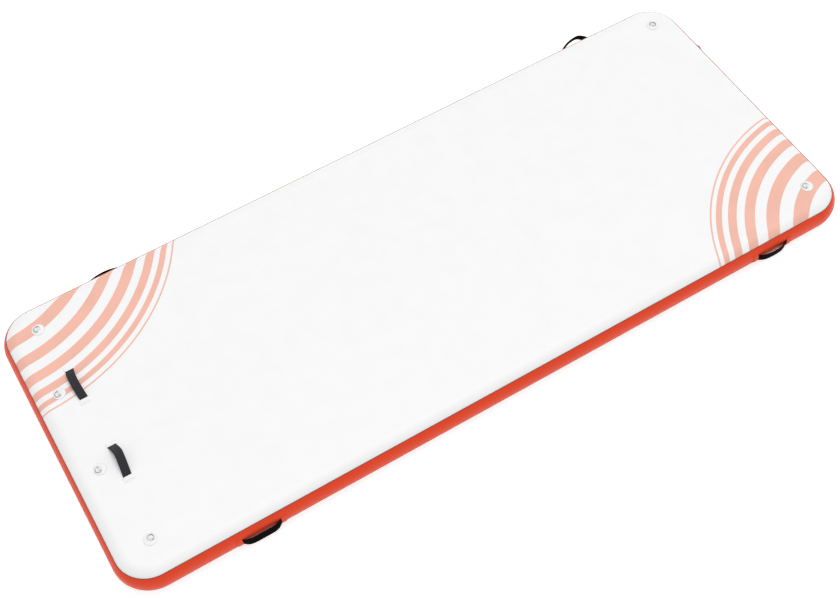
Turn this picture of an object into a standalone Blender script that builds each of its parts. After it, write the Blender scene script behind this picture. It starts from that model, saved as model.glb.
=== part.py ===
"""Inflatable dock platform, modelled piece by piece at its real size.

The platform lies flat on the ground. X runs along its length, Y across its width and Z up. The
origin is the middle of the underside's flat face. All lengths are in metres.

The hull is an air chamber: a deck skin and a base skin that roll over the edge, a side wall band
lapped over both rims, and yarn rows between the skins that keep them flat and parallel. On it
are webbing handles, D-rings that swing in their straps, and an air valve in the end wall.
"""

import math

import bmesh
import bpy
from mathutils import Matrix, Vector

# Overall size
PLATFORM_LENGTH = 3.66
PLATFORM_WIDTH = 1.52
PLATFORM_THICKNESS = 0.152
CORNER_RADIUS = 0.17

# Clearances
SEAT_GAP = 0.0003
RUNNING_GAP = 0.0003
CUT_OVERRUN = 0.002

# Hull fabric. The edge roll is a polygon of equal steps from the deck (0) to the base (16).
SKIN_THICKNESS = 0.0012
WALL_THICKNESS = 0.0012
ROLL_STEPS = 16
WALL_FIRST_STEP = 4
LAP_STEPS = 1
CORNER_SEGMENTS = 8

# Yarn rows that tie the two skins together
YARN_RADIUS = 0.001
YARN_ROW_COUNT = 7
YARN_LEG_COUNT = 24
YARN_STITCH_LENGTH = 0.012

# D-rings: a round patch, a strap over the ring's bar, and the steel ring
RING_WIRE_RADIUS = 0.002
RING_BAR_HALF_WIDTH = 0.0145
RING_SIDE_LENGTH = 0.006
RING_CORNER_RADIUS = 0.004
RING_STRAP_PLAY = 0.0006
RING_STRAP_WIDTH = 0.022
RING_STRAP_THICKNESS = 0.0015
RING_STRAP_FOOT = 0.004
RING_CORNER_SEGMENTS = 3
RING_BOW_SEGMENTS = 12
RING_STRAP_SEGMENTS = 8
RING_PATCH_RADIUS = 0.029
RING_PATCH_THICKNESS = 0.001
# Each corner ring's end of the platform and its way in from it, its side and its way in from
# that, and how far it is turned from a bow that points to +Y, in degrees
CORNER_RINGS = {
    "left_back": (-1, 0.177, 1, 0.158, 45),
    "left_front": (-1, 0.187, -1, 0.176, -45),
    "right_front": (1, 0.137, -1, 0.162, 45),
    "right_back": (1, 0.142, 1, 0.151, -45),
}
# Each ring beside a deck handle: its way in from the handle end, its Y and its turn
END_RINGS = {
    "end_back": (0.132, 0.247, 90),
    "end_front": (0.138, -0.183, 90),
}

# Webbing handles. The feet at their ends are glued under patches, and the arch is free.
WEBBING_WIDTH = 0.038
WEBBING_THICKNESS = 0.0025
HANDLE_FOOT = 0.022
HANDLE_BARE_FOOT = 0.002
HANDLE_PATCH_THICKNESS = 0.001
HANDLE_ARCH_SEGMENTS = 16
HANDLE_PATCH_WIDTH = 0.052
HANDLE_PATCH_END_MARGIN = 0.008
HANDLE_PATCH_CORNER = 0.008
DECK_HANDLE_SPAN = 0.162
# Each deck handle's way in from the handle end, its Y, its rise, how far its peak lies off its
# middle, its lean to +X, and its fullness. An arch is a parabola at fullness 2, pointed below it
# and flat-topped above it.
DECK_HANDLES = {
    "back": (0.215, 0.248, 0.026, 0.010, -0.005, 2.0),
    "front": (0.225, -0.192, 0.045, 0.013, 0.011, 1.35),
}
# Each side handle's end of the platform and its way in from it, its side, its span, its rise, its
# peak's way off to +X, its fullness, and how far its upper edge tilts towards the wall, in degrees
SIDE_HANDLES = {
    "front_left": (-1, 0.599, -1, 0.176, 0.015, 0.0, 5.0, 12.0),
    "front_right": (1, 0.450, -1, 0.155, 0.017, 0.0, 3.0, 0.0),
    "back_left": (-1, 0.554, 1, 0.170, 0.015, 0.0, 2.0, 0.0),
    "back_right": (1, 0.503, 1, 0.165, 0.046, 0.035, 2.0, 18.0),
}

# Air valve in the end wall
VALVE_Y = 0.40
VALVE_SEGMENTS = 32
VALVE_PATCH_RADIUS = 0.042
VALVE_PATCH_THICKNESS = 0.001
VALVE_FLANGE_RADIUS = 0.028
VALVE_FLANGE_FRONT = 0.0026
VALVE_FLANGE_CHAMFER = 0.0008
VALVE_NECK_RADIUS = 0.018
VALVE_NECK_FRONT = 0.003
VALVE_NECK_DEPTH = 0.023
VALVE_BORE_RADIUS = 0.0145
VALVE_PLATE_THICKNESS = 0.004
VALVE_VENT_COUNT = 6
VALVE_VENT_RADIUS = 0.0028
VALVE_VENT_CIRCLE = 0.0085
VALVE_NUT_RADIUS = 0.027
VALVE_NUT_DEPTH = 0.012
STEM_RADIUS = 0.0022
STEM_BUTTON_RADIUS = 0.005
STEM_BUTTON_DEPTH = 0.006
STEM_BUTTON_THICKNESS = 0.0015
STEM_FOOT_RADIUS = 0.006
STEM_FOOT_THICKNESS = 0.0012
DIAPHRAGM_RADIUS = 0.0133
DIAPHRAGM_THICKNESS = 0.0015
SPRING_WIRE_RADIUS = 0.0004
SPRING_COIL_RADIUS = 0.0037
SPRING_TURNS = 5
SPRING_POINTS_PER_TURN = 10
CAP_HEAD_RADIUS = 0.019
CAP_HEAD_THICKNESS = 0.0016
CAP_HEAD_CHAMFER = 0.0006
CAP_SHOULDER_RADIUS = 0.0152
CAP_PLUG_DEPTH = 0.005
CAP_GROOVE_DEPTH = 0.0014
CAP_GROOVE_START = 0.0012
CAP_GROOVE_WIDTH = 0.0024
CAP_GRIP_LENGTH = 0.030
CAP_GRIP_WIDTH = 0.004
CAP_GRIP_CORNER = 0.0016
CAP_GRIP_HEIGHT = 0.0024
TETHER_THICKNESS = 0.001
TETHER_RING_WIDTH = 0.004
TETHER_STRIP_WIDTH = 0.005
TETHER_STRIP_END = 0.0255
TETHER_BUTTON_RADIUS = 0.0036

# Values that follow from the sizes above
MID_HEIGHT = PLATFORM_THICKNESS / 2
ROLL_RADIUS = PLATFORM_THICKNESS / 2
ROLL_STEP = math.pi / ROLL_STEPS
WALL_LAST_STEP = ROLL_STEPS - WALL_FIRST_STEP
WALL_INNER_RADIUS = ROLL_RADIUS + SEAT_GAP
WALL_OUTER_RADIUS = WALL_INNER_RADIUS + WALL_THICKNESS
CORE_HALF_LENGTH = PLATFORM_LENGTH / 2 - WALL_OUTER_RADIUS
CORE_HALF_WIDTH = PLATFORM_WIDTH / 2 - WALL_OUTER_RADIUS
CORE_CORNER_RADIUS = CORNER_RADIUS - WALL_OUTER_RADIUS
DECK_TOP = PLATFORM_THICKNESS
VALVE_POINT = Vector((PLATFORM_LENGTH / 2, VALVE_Y, MID_HEIGHT))

# Colours, as they look on the object
WHITE_SKIN = "F4F4F4"
ORANGE_SKIN = "DF4A2C"
BLACK_WEBBING = "1B1B1D"
WHITE_PATCH = "F2F2F1"
WHITE_YARN = "E9E7E0"
STEEL = "B9BBBD"
BLACK_PLASTIC = "242326"
GREY_RUBBER = "3A3A3C"


def along_from(end, inset):
    """X of a place that lies an inset in from an end of the platform, -1 or 1."""
    return end * (PLATFORM_LENGTH / 2 - inset)


def across_from(side, inset):
    """Y of a place that lies an inset in from a side of the platform, -1 or 1."""
    return side * (PLATFORM_WIDTH / 2 - inset)


def linear_colour(code):
    """Linear RGBA of a hexadecimal sRGB colour."""
    values = [int(code[i:i + 2], 16) / 255 for i in (0, 2, 4)]
    linear = [v / 12.92 if v <= 0.04045 else ((v + 0.055) / 1.055) ** 2.4 for v in values]
    return (*linear, 1.0)


def make_material(name, code, roughness, metallic=0.0):
    """One Principled material of the given colour."""
    material = bpy.data.materials.new(name)
    material.use_nodes = True
    shader = material.node_tree.nodes["Principled BSDF"]
    shader.inputs["Base Color"].default_value = linear_colour(code)
    shader.inputs["Roughness"].default_value = roughness
    shader.inputs["Metallic"].default_value = metallic
    return material


def place(name, data, material=None, location=(0, 0, 0), parent=None):
    """Put a mesh or curve into the scene as a named object. A cutter has no material."""
    item = bpy.data.objects.new(name, data)
    if material and not data.materials:
        data.materials.append(material)
    item.location = location
    item.parent = parent
    bpy.context.scene.collection.objects.link(item)
    return item


def place_seat(name, location, turn):
    """Put an empty object into the scene for pieces to sit on, turned by degrees about Z."""
    seat = bpy.data.objects.new(name, None)
    seat.location = location
    seat.rotation_euler.z = math.radians(turn)
    bpy.context.scene.collection.objects.link(seat)
    return seat


def finish_mesh(name, mesh):
    """Turn a bmesh into mesh data with its faces pointing out, round stretches shaded smooth."""
    bmesh.ops.recalc_face_normals(mesh, faces=mesh.faces)
    data = bpy.data.meshes.new(name)
    mesh.to_mesh(data)
    mesh.free()
    data.shade_smooth()
    data.set_sharp_from_angle(angle=math.radians(30))
    return data


def loft(name, rings, closed):
    """A solid through rings of points. A closed one is a tube in itself, an open one is capped."""
    mesh = bmesh.new()
    rows = [[mesh.verts.new(point) for point in ring] for ring in rings]
    count = len(rows[0])
    pairs = list(zip(rows, rows[1:]))
    if closed:
        pairs.append((rows[-1], rows[0]))
    for low, high in pairs:
        for i in range(count):
            j = (i + 1) % count
            mesh.faces.new((low[i], low[j], high[j], high[i]))
    if not closed:
        mesh.faces.new(rows[0])
        mesh.faces.new(rows[-1])
    return finish_mesh(name, mesh)


def extrude_outline(name, outline, axis, half_depth):
    """A prism: a closed outline in the plane across `axis`, drawn out to both sides."""
    def point(pair, depth):
        values = list(pair)
        values.insert(axis, depth)
        return values

    rings = [[point(pair, depth) for pair in outline] for depth in (-half_depth, half_depth)]
    return loft(name, rings, closed=False)


def turned(name, profile, closed):
    """A piece turned about the X axis. The profile is a list of (x, radius) pairs.

    A closed profile keeps clear of the axis. An open one starts and ends at flat faces.
    """
    rings = []
    for along, radius in profile:
        angles = [2 * math.pi * i / VALVE_SEGMENTS for i in range(VALVE_SEGMENTS)]
        rings.append([(along, radius * math.cos(a), radius * math.sin(a)) for a in angles])
    return loft(name, rings, closed)


def tube(name, points, radius, resolution, cyclic=False):
    """A round tube along points, as a curve with filled ends."""
    curve = bpy.data.curves.new(name, "CURVE")
    curve.dimensions = "3D"
    curve.bevel_depth = radius
    curve.bevel_resolution = resolution
    curve.use_fill_caps = not cyclic
    spline = curve.splines.new("POLY")
    spline.points.add(len(points) - 1)
    for target, point in zip(spline.points, points):
        target.co = (*point, 1.0)
    spline.use_cyclic_u = cyclic
    return curve


def combine(target, operand, operation):
    """Cut, join or trim `target` with `operand`, which itself stays out of the build."""
    modifier = target.modifiers.new(f"{operation.lower()} {operand.name}", "BOOLEAN")
    modifier.operation = operation
    modifier.solver = "EXACT"
    modifier.object = operand
    operand.hide_render = True
    operand.display_type = "WIRE"


def rounded_rectangle(half_x, half_y, radius, segments):
    """Points of a rounded rectangle about the origin, counter-clockwise."""
    points = []
    for quarter, (sign_x, sign_y) in enumerate(((1, 1), (-1, 1), (-1, -1), (1, -1))):
        for step in range(segments + 1):
            angle = (quarter + step / segments) * math.pi / 2
            x = sign_x * (half_x - radius) + radius * math.cos(angle)
            y = sign_y * (half_y - radius) + radius * math.sin(angle)
            points.append((x, y))
    return points


def roll_ring(radius, step):
    """The hull's outline at one step of the edge roll, for a roll of the given radius."""
    angle = step * ROLL_STEP
    outset = radius * math.sin(angle)
    height = MID_HEIGHT + radius * math.cos(angle)
    outline = rounded_rectangle(CORE_HALF_LENGTH + outset, CORE_HALF_WIDTH + outset,
                                CORE_CORNER_RADIUS + outset, CORNER_SEGMENTS)
    return [(x, y, height) for x, y in outline]


def make_skin(name, steps, material):
    """A fabric skin: its flat field and the rolled edge down to the lap under the side wall."""
    outer = [roll_ring(ROLL_RADIUS, step) for step in steps]
    inner = [roll_ring(ROLL_RADIUS - SKIN_THICKNESS, step) for step in reversed(steps)]
    return place(name, loft(name, outer + inner, closed=False), material)


def make_side_wall(material):
    """The bulging band around the hull, lapped over the rims of both skins."""
    steps = range(WALL_FIRST_STEP, WALL_LAST_STEP + 1)
    outer = [roll_ring(WALL_OUTER_RADIUS, step) for step in steps]
    inner = [roll_ring(WALL_INNER_RADIUS, step) for step in reversed(steps)]
    return place("side_wall", loft("side_wall", outer + inner, closed=True), material)


def make_yarn_rows(material):
    """Rows of drop-stitch yarn, each one thread that runs to and fro between the skins."""
    reach = MID_HEIGHT - SKIN_THICKNESS - SEAT_GAP - YARN_RADIUS
    half_run = CORE_HALF_LENGTH - CORE_CORNER_RADIUS
    pitch = 2 * half_run / YARN_LEG_COUNT
    points = []
    for leg in range(YARN_LEG_COUNT):
        side = 1 if leg % 2 == 0 else -1
        centre = (leg + 0.5) * pitch - half_run
        points.append((centre - YARN_STITCH_LENGTH / 2, 0, side * reach))
        points.append((centre + YARN_STITCH_LENGTH / 2, 0, side * reach))
    row_gap = 2 * CORE_HALF_WIDTH / YARN_ROW_COUNT
    for row in range(YARN_ROW_COUNT):
        name = f"yarn_row_{row + 1}"
        across = (row + 0.5) * row_gap - CORE_HALF_WIDTH
        place(name, tube(name, points, YARN_RADIUS, 0), material, (0, across, MID_HEIGHT))


def wall_reach(height, offset):
    """How far a surface `offset` outside the side wall reaches at a height above mid-height.

    The wall's edge roll is a polygon, so the surface runs straight between its corners.
    """
    radius = WALL_OUTER_RADIUS + offset
    corners = [(radius * math.cos(i * ROLL_STEP), radius * math.sin(i * ROLL_STEP))
               for i in range(-WALL_FIRST_STEP, WALL_FIRST_STEP + 1)]
    for (reach_a, height_a), (reach_b, height_b) in zip(corners, corners[1:]):
        if height_a <= height <= height_b:
            share = (height - height_a) / (height_b - height_a)
            return reach_a + share * (reach_b - reach_a)
    return corners[-1][0]


def ring_outline():
    """Centre line of a D-ring: its bar lies on the X axis and its bow points to +Y."""
    half = RING_BAR_HALF_WIDTH
    corner = RING_CORNER_RADIUS
    points = []
    for sign in (-1, 1):
        for step in range(RING_CORNER_SEGMENTS + 1):
            share = step / RING_CORNER_SEGMENTS
            angle = (share if sign > 0 else 1 - share) * math.pi / 2
            x = half - corner + corner * math.sin(angle)
            y = corner - corner * math.cos(angle)
            points.append((sign * x, y, 0))
    for step in range(RING_BOW_SEGMENTS + 1):
        angle = step / RING_BOW_SEGMENTS * math.pi
        points.append((half * math.cos(angle), RING_SIDE_LENGTH + half * math.sin(angle), 0))
    return points


def ring_strap_outline():
    """Section of the strap that holds a ring: two flat feet and a loop over the ring's bar."""
    inner = RING_WIRE_RADIUS + RING_STRAP_PLAY
    outer = inner + RING_STRAP_THICKNESS
    bar_height = RING_WIRE_RADIUS + SEAT_GAP
    foot_end = outer + RING_STRAP_FOOT
    foot_top = SEAT_GAP + RING_STRAP_THICKNESS
    steps = range(RING_STRAP_SEGMENTS + 1)
    angles = [step / RING_STRAP_SEGMENTS * math.pi for step in steps]
    points = [(foot_end, SEAT_GAP), (foot_end, foot_top), (outer, foot_top)]
    points += [(outer * math.cos(a), bar_height + outer * math.sin(a)) for a in angles]
    points += [(-outer, foot_top), (-foot_end, foot_top), (-foot_end, SEAT_GAP), (-inner, SEAT_GAP)]
    points += [(inner * math.cos(a), bar_height + inner * math.sin(a)) for a in reversed(angles)]
    points.append((inner, SEAT_GAP))
    return points


def make_d_rings(patch_material, strap_material, steel_material):
    """Six tie-down rings on the deck: one at each corner and two at the handle end.

    A corner ring's bar lies across the corner's diagonal, an end ring's bar along the end edge.
    """
    patch_outline = rounded_rectangle(RING_PATCH_RADIUS, RING_PATCH_RADIUS, RING_PATCH_RADIUS, 6)
    del patch_outline[::7]
    patch = extrude_outline("d_ring_patch", patch_outline, 2, RING_PATCH_THICKNESS / 2)
    strap = extrude_outline("d_ring_strap", ring_strap_outline(), 0, RING_STRAP_WIDTH / 2)
    ring = tube("d_ring", ring_outline(), RING_WIRE_RADIUS, 2, cyclic=True)
    patch_height = DECK_TOP + SEAT_GAP + RING_PATCH_THICKNESS / 2
    patch_top = patch_height + RING_PATCH_THICKNESS / 2
    bar_height = SEAT_GAP + RING_WIRE_RADIUS
    places = {where: (along_from(end, from_end), across_from(side, from_side), turn)
              for where, (end, from_end, side, from_side, turn) in CORNER_RINGS.items()}
    for where, (from_end, y, turn) in END_RINGS.items():
        places[where] = (along_from(-1, from_end), y, turn)
    for where, (x, y, turn) in places.items():
        place(f"d_ring_patch_{where}", patch, patch_material, (x, y, patch_height))
        seat = place_seat(f"d_ring_seat_{where}", (x, y, patch_top), turn)
        place(f"d_ring_strap_{where}", strap, strap_material, parent=seat)
        place(f"d_ring_{where}", ring, steel_material, (0, 0, bar_height), seat)


def arch_line(span, rise, peak, fullness):
    """Line of a webbing handle seen from its edge, with a flat foot at each end."""
    half = span / 2
    points = [(-half - HANDLE_FOOT, 0)]
    for step in range(HANDLE_ARCH_SEGMENTS + 1):
        along = span * (step / HANDLE_ARCH_SEGMENTS - 0.5)
        reach = half - peak if along > peak else half + peak
        share = min(1.0, abs(along - peak) / reach)
        points.append((along, rise * (1 - share ** fullness)))
    points.append((half + HANDLE_FOOT, 0))
    return points


def offset_line(points, distance):
    """A line moved sideways by a distance, mitred at its corners."""
    moved = []
    for i, point in enumerate(points):
        here = Vector(point)
        before = (here - Vector(points[i - 1])).normalized() if i else None
        after = (Vector(points[i + 1]) - here).normalized() if i + 1 < len(points) else None
        normals = [Vector((-d.y, d.x)) for d in (before, after) if d is not None]
        mean = sum(normals, Vector((0, 0))).normalized()
        moved.append(here + mean * (distance / mean.dot(normals[0])))
    return moved


def sleeve(name, flange, hump, pocket, material, location, parent=None):
    """A patch glued over a foot of webbing: a flat flange, a hump over the foot and its pocket."""
    patch = place(name, flange, material, location, parent)
    combine(patch, place(f"{name}_hump", hump, material, location, parent), "UNION")
    combine(patch, place(f"{name}_pocket", pocket, location=location, parent=parent), "DIFFERENCE")


def make_deck_handles(webbing_material, patch_material):
    """Two webbing handles that arch up from the deck at the handle end."""
    pocket_height = SEAT_GAP + WEBBING_THICKNESS + SEAT_GAP
    hump_height = pocket_height + HANDLE_PATCH_THICKNESS
    half_pocket = WEBBING_WIDTH / 2 + SEAT_GAP
    half_hump = half_pocket + HANDLE_PATCH_THICKNESS
    covered = HANDLE_FOOT - HANDLE_BARE_FOOT

    def block(name, half_x, low_y, high_y, low_z, high_z, corner=0.0):
        """A block whose outer end has rounded corners, about the mouth of the sleeve."""
        outline = [(-half_x, low_y), (half_x, low_y)]
        steps = 4 if corner else 0
        for sign in (1, -1):
            for step in range(steps + 1):
                angle = math.pi / 2 * (step / steps if steps else 0)
                if sign < 0:
                    angle = math.pi / 2 - angle
                outline.append((sign * (half_x - corner + corner * math.cos(angle)),
                                high_y - corner + corner * math.sin(angle)))
        return loft(name, [[(x, y, z) for x, y in outline] for z in (low_z, high_z)], closed=False)

    for where, (from_end, y, rise, peak, lean, fullness) in DECK_HANDLES.items():
        x = along_from(-1, from_end)
        line = arch_line(DECK_HANDLE_SPAN, rise, peak, fullness)
        low = offset_line(line, 0)
        high = offset_line(line, WEBBING_THICKNESS)
        rings = []
        for (low_y, low_z), (high_y, high_z) in zip(low, high):
            shift = lean * low_z / rise
            rings.append([(shift - WEBBING_WIDTH / 2, low_y, low_z),
                          (shift + WEBBING_WIDTH / 2, low_y, low_z),
                          (shift + WEBBING_WIDTH / 2, high_y, high_z),
                          (shift - WEBBING_WIDTH / 2, high_y, high_z)])
        name = f"deck_handle_{where}"
        place(name, loft(name, rings, closed=False), webbing_material, (x, y, DECK_TOP + SEAT_GAP))
        for number, end in ((1, 1), (2, -1)):
            mouth = end * (DECK_HANDLE_SPAN / 2 + HANDLE_BARE_FOOT)
            seat = place_seat(f"{name}_seat_{number}", (x, y + mouth, DECK_TOP),
                              0 if end > 0 else 180)
            patch = f"deck_handle_patch_{where}_{number}"
            flange = block(patch, HANDLE_PATCH_WIDTH / 2, 0, covered + HANDLE_PATCH_END_MARGIN,
                           SEAT_GAP, SEAT_GAP + HANDLE_PATCH_THICKNESS, HANDLE_PATCH_CORNER)
            hump = block(patch, half_hump, 0, covered + SEAT_GAP + HANDLE_PATCH_THICKNESS,
                         SEAT_GAP, hump_height)
            pocket = block(patch, half_pocket, -CUT_OVERRUN, covered + SEAT_GAP,
                           -CUT_OVERRUN, pocket_height)
            sleeve(patch, flange, hump, pocket, patch_material, (0, 0, 0), seat)


def wall_heights(half):
    """Heights at which a piece on the side wall needs corners, from -half to half."""
    bend = WALL_OUTER_RADIUS * math.sin(ROLL_STEP)
    return sorted({-half, half, *(h for h in (-bend, 0, bend) if abs(h) < half)})


def wall_slab(name, half_height, low_offset, high_offset, start, end):
    """A slab on the side wall, bent as the wall is, from start to end along X. It faces -Y."""
    heights = wall_heights(half_height)
    outline = [(-wall_reach(h, low_offset), h) for h in heights]
    outline += [(-wall_reach(h, high_offset), h) for h in reversed(heights)]
    data = [[(x, y, z) for y, z in outline] for x in (start, end)]
    return loft(name, data, closed=False)


def wall_webbing(span, rise, peak, fullness, tilt):
    """A webbing handle on the side wall. Its feet take the wall's bend and its arch is flat.

    Its rings run around the webbing's section, from one end of the handle to the other.
    """
    heights = wall_heights(WEBBING_WIDTH / 2)
    line = arch_line(span, rise, peak, fullness)
    back = offset_line(line, 0)
    front = offset_line(line, WEBBING_THICKNESS)
    flat_reach = wall_reach(0, SEAT_GAP)
    slope = math.tan(math.radians(tilt))
    rings = []
    for (back_x, back_rise), (front_x, front_rise) in zip(back, front):
        flatness = back_rise / rise
        reaches = [wall_reach(h, SEAT_GAP) * (1 - flatness) + (flat_reach - slope * h) * flatness
                   for h in heights]
        ring = [(back_x, -(r + back_rise), h) for r, h in zip(reaches, heights)]
        ring += [(front_x, -(r + front_rise), h)
                 for r, h in zip(reversed(reaches), reversed(heights))]
        rings.append(ring)
    return loft("side_handle", rings, closed=False)


def make_side_handles(webbing_material, patch_material):
    """Four webbing handles on the long side walls, two to a side."""
    pocket_reach = SEAT_GAP + WEBBING_THICKNESS + SEAT_GAP
    half_pocket = WEBBING_WIDTH / 2 + SEAT_GAP
    half_hump = half_pocket + HANDLE_PATCH_THICKNESS
    covered = HANDLE_FOOT - HANDLE_BARE_FOOT
    length = covered + HANDLE_PATCH_END_MARGIN
    hump_length = covered + SEAT_GAP + HANDLE_PATCH_THICKNESS
    for where, (end, from_end, side, span, rise, peak, fullness, tilt) in SIDE_HANDLES.items():
        x = along_from(end, from_end)
        seat = place_seat(f"side_handle_seat_{where}", (x, side * CORE_HALF_WIDTH, MID_HEIGHT),
                          180 if side > 0 else 0)
        webbing = wall_webbing(span, rise, -side * peak, fullness, tilt)
        place(f"side_handle_{where}", webbing, webbing_material, parent=seat)
        for number, end in ((1, -1), (2, 1)):
            mouth = end * (span / 2 + HANDLE_BARE_FOOT)
            patch = f"side_handle_patch_{where}_{number}"
            flange = wall_slab(patch, HANDLE_PATCH_WIDTH / 2, SEAT_GAP,
                               SEAT_GAP + HANDLE_PATCH_THICKNESS, mouth, mouth + end * length)
            hump = wall_slab(patch, half_hump, SEAT_GAP, pocket_reach + HANDLE_PATCH_THICKNESS,
                             mouth, mouth + end * hump_length)
            pocket = wall_slab(patch, half_pocket, -CUT_OVERRUN, pocket_reach,
                               mouth - end * CUT_OVERRUN, mouth + end * (covered + SEAT_GAP))
            sleeve(patch, flange, hump, pocket, patch_material, (0, 0, 0), seat)


def end_wall_prism(name, radius):
    """The space inside a roll of the given radius at the end wall, as a cutting solid."""
    steps = range(WALL_FIRST_STEP, WALL_LAST_STEP + 1)
    reach = CORE_HALF_LENGTH - PLATFORM_LENGTH / 2
    outline = [(reach + radius * math.sin(i * ROLL_STEP), radius * math.cos(i * ROLL_STEP))
               for i in steps]
    outline += [(reach, -radius), (reach, radius)]
    half_depth = VALVE_PATCH_RADIUS + CUT_OVERRUN
    return place(name, extrude_outline(name, outline, 1, half_depth), location=VALVE_POINT)


def make_valve_hole(side_wall):
    """The round hole in the end wall that the valve's neck passes through."""
    radius = VALVE_NECK_RADIUS + RUNNING_GAP
    profile = [(-VALVE_PATCH_RADIUS, radius), (CUT_OVERRUN, radius)]
    cutter = place("valve_hole", turned("valve_hole", profile, closed=False), location=VALVE_POINT)
    combine(side_wall, cutter, "DIFFERENCE")


def make_valve_patch(material):
    """The ring of fabric glued round the valve, bent as the wall is."""
    inner_radius = WALL_OUTER_RADIUS + SEAT_GAP
    profile = [
        (-VALVE_PATCH_RADIUS, VALVE_NECK_RADIUS + RUNNING_GAP),
        (VALVE_NECK_FRONT, VALVE_NECK_RADIUS + RUNNING_GAP),
        (VALVE_NECK_FRONT, VALVE_PATCH_RADIUS),
        (-VALVE_PATCH_RADIUS, VALVE_PATCH_RADIUS),
    ]
    patch = place("valve_patch", turned("valve_patch", profile, closed=True), material, VALVE_POINT)
    outside = end_wall_prism("valve_patch_outside", inner_radius + VALVE_PATCH_THICKNESS)
    combine(patch, outside, "INTERSECT")
    combine(patch, end_wall_prism("valve_patch_inside", inner_radius), "DIFFERENCE")


def make_valve_body(material):
    """The valve body: a flange on the wall, a neck through it and a vented guide plate."""
    depth = VALVE_NECK_DEPTH
    guide = STEM_RADIUS + RUNNING_GAP
    plate_front = VALVE_PLATE_THICKNESS - depth
    neck_profile = [
        (VALVE_NECK_FRONT, VALVE_BORE_RADIUS),
        (VALVE_NECK_FRONT, VALVE_NECK_RADIUS),
        (-depth, VALVE_NECK_RADIUS),
        (-depth, guide),
        (plate_front, guide),
        (plate_front, VALVE_BORE_RADIUS),
    ]
    body = place("valve_body", turned("valve_body", neck_profile, closed=True), material,
                 VALVE_POINT)
    inside_neck = (VALVE_BORE_RADIUS + VALVE_NECK_RADIUS) / 2
    flange_profile = [
        (VALVE_FLANGE_FRONT, inside_neck),
        (VALVE_FLANGE_FRONT, VALVE_FLANGE_RADIUS - VALVE_FLANGE_CHAMFER),
        (VALVE_FLANGE_FRONT - VALVE_FLANGE_CHAMFER, VALVE_FLANGE_RADIUS),
        (-VALVE_FLANGE_RADIUS, VALVE_FLANGE_RADIUS),
        (-VALVE_FLANGE_RADIUS, inside_neck),
    ]
    flange = place("valve_flange_blank", turned("valve_flange_blank", flange_profile, closed=True),
                   material, VALVE_POINT)
    seat_radius = WALL_OUTER_RADIUS + VALVE_PATCH_THICKNESS + 2 * SEAT_GAP
    combine(flange, end_wall_prism("valve_flange_seat", seat_radius), "DIFFERENCE")
    combine(body, flange, "UNION")
    vents = bmesh.new()
    for number in range(VALVE_VENT_COUNT):
        angle = 2 * math.pi * number / VALVE_VENT_COUNT
        centre = Vector((plate_front - VALVE_PLATE_THICKNESS / 2,
                         VALVE_VENT_CIRCLE * math.cos(angle), VALVE_VENT_CIRCLE * math.sin(angle)))
        pose = Matrix.Translation(centre) @ Matrix.Rotation(math.pi / 2, 4, "Y")
        bmesh.ops.create_cone(vents, cap_ends=True, segments=12, radius1=VALVE_VENT_RADIUS,
                              radius2=VALVE_VENT_RADIUS,
                              depth=VALVE_PLATE_THICKNESS + 2 * CUT_OVERRUN, matrix=pose)
    cutter = place("valve_vents", finish_mesh("valve_vents", vents), location=VALVE_POINT)
    combine(body, cutter, "DIFFERENCE")


def make_valve_nut(material):
    """The nut inside the chamber that clamps the wall against the valve's flange."""
    bore = VALVE_NECK_RADIUS + RUNNING_GAP
    profile = [(0, bore), (0, VALVE_NUT_RADIUS), (-VALVE_NUT_DEPTH, VALVE_NUT_RADIUS),
               (-VALVE_NUT_DEPTH, bore)]
    nut = place("valve_nut", turned("valve_nut", profile, closed=True), material, VALVE_POINT)
    inside = end_wall_prism("valve_nut_seat", WALL_INNER_RADIUS - SEAT_GAP)
    combine(nut, inside, "INTERSECT")


def make_valve_stem(stem_material, rubber_material, steel_material):
    """The push stem with its diaphragm, and the spring that holds it shut."""
    button_back = -STEM_BUTTON_DEPTH - STEM_BUTTON_THICKNESS
    diaphragm_front = -VALVE_NECK_DEPTH - SEAT_GAP
    diaphragm_back = diaphragm_front - DIAPHRAGM_THICKNESS
    foot_front = diaphragm_back - SEAT_GAP
    stem_profile = [
        (-STEM_BUTTON_DEPTH, STEM_BUTTON_RADIUS),
        (button_back, STEM_BUTTON_RADIUS),
        (button_back, STEM_RADIUS),
        (foot_front, STEM_RADIUS),
        (foot_front, STEM_FOOT_RADIUS),
        (foot_front - STEM_FOOT_THICKNESS, STEM_FOOT_RADIUS),
    ]
    place("valve_stem", turned("valve_stem", stem_profile, closed=False), stem_material,
          VALVE_POINT)
    hole = STEM_RADIUS + RUNNING_GAP
    diaphragm_profile = [(diaphragm_front, hole), (diaphragm_front, DIAPHRAGM_RADIUS),
                         (diaphragm_back, DIAPHRAGM_RADIUS), (diaphragm_back, hole)]
    place("valve_diaphragm", turned("valve_diaphragm", diaphragm_profile, closed=True),
          rubber_material, VALVE_POINT)
    spring_front = button_back - SEAT_GAP - SPRING_WIRE_RADIUS
    spring_back = VALVE_PLATE_THICKNESS - VALVE_NECK_DEPTH + SEAT_GAP + SPRING_WIRE_RADIUS
    count = SPRING_TURNS * SPRING_POINTS_PER_TURN
    points = []
    for step in range(count + 1):
        angle = 2 * math.pi * step / SPRING_POINTS_PER_TURN
        along = spring_front + (spring_back - spring_front) * step / count
        points.append((along, SPRING_COIL_RADIUS * math.cos(angle),
                       SPRING_COIL_RADIUS * math.sin(angle)))
    place("valve_spring", tube("valve_spring", points, SPRING_WIRE_RADIUS, 1), steel_material,
          VALVE_POINT)


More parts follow.
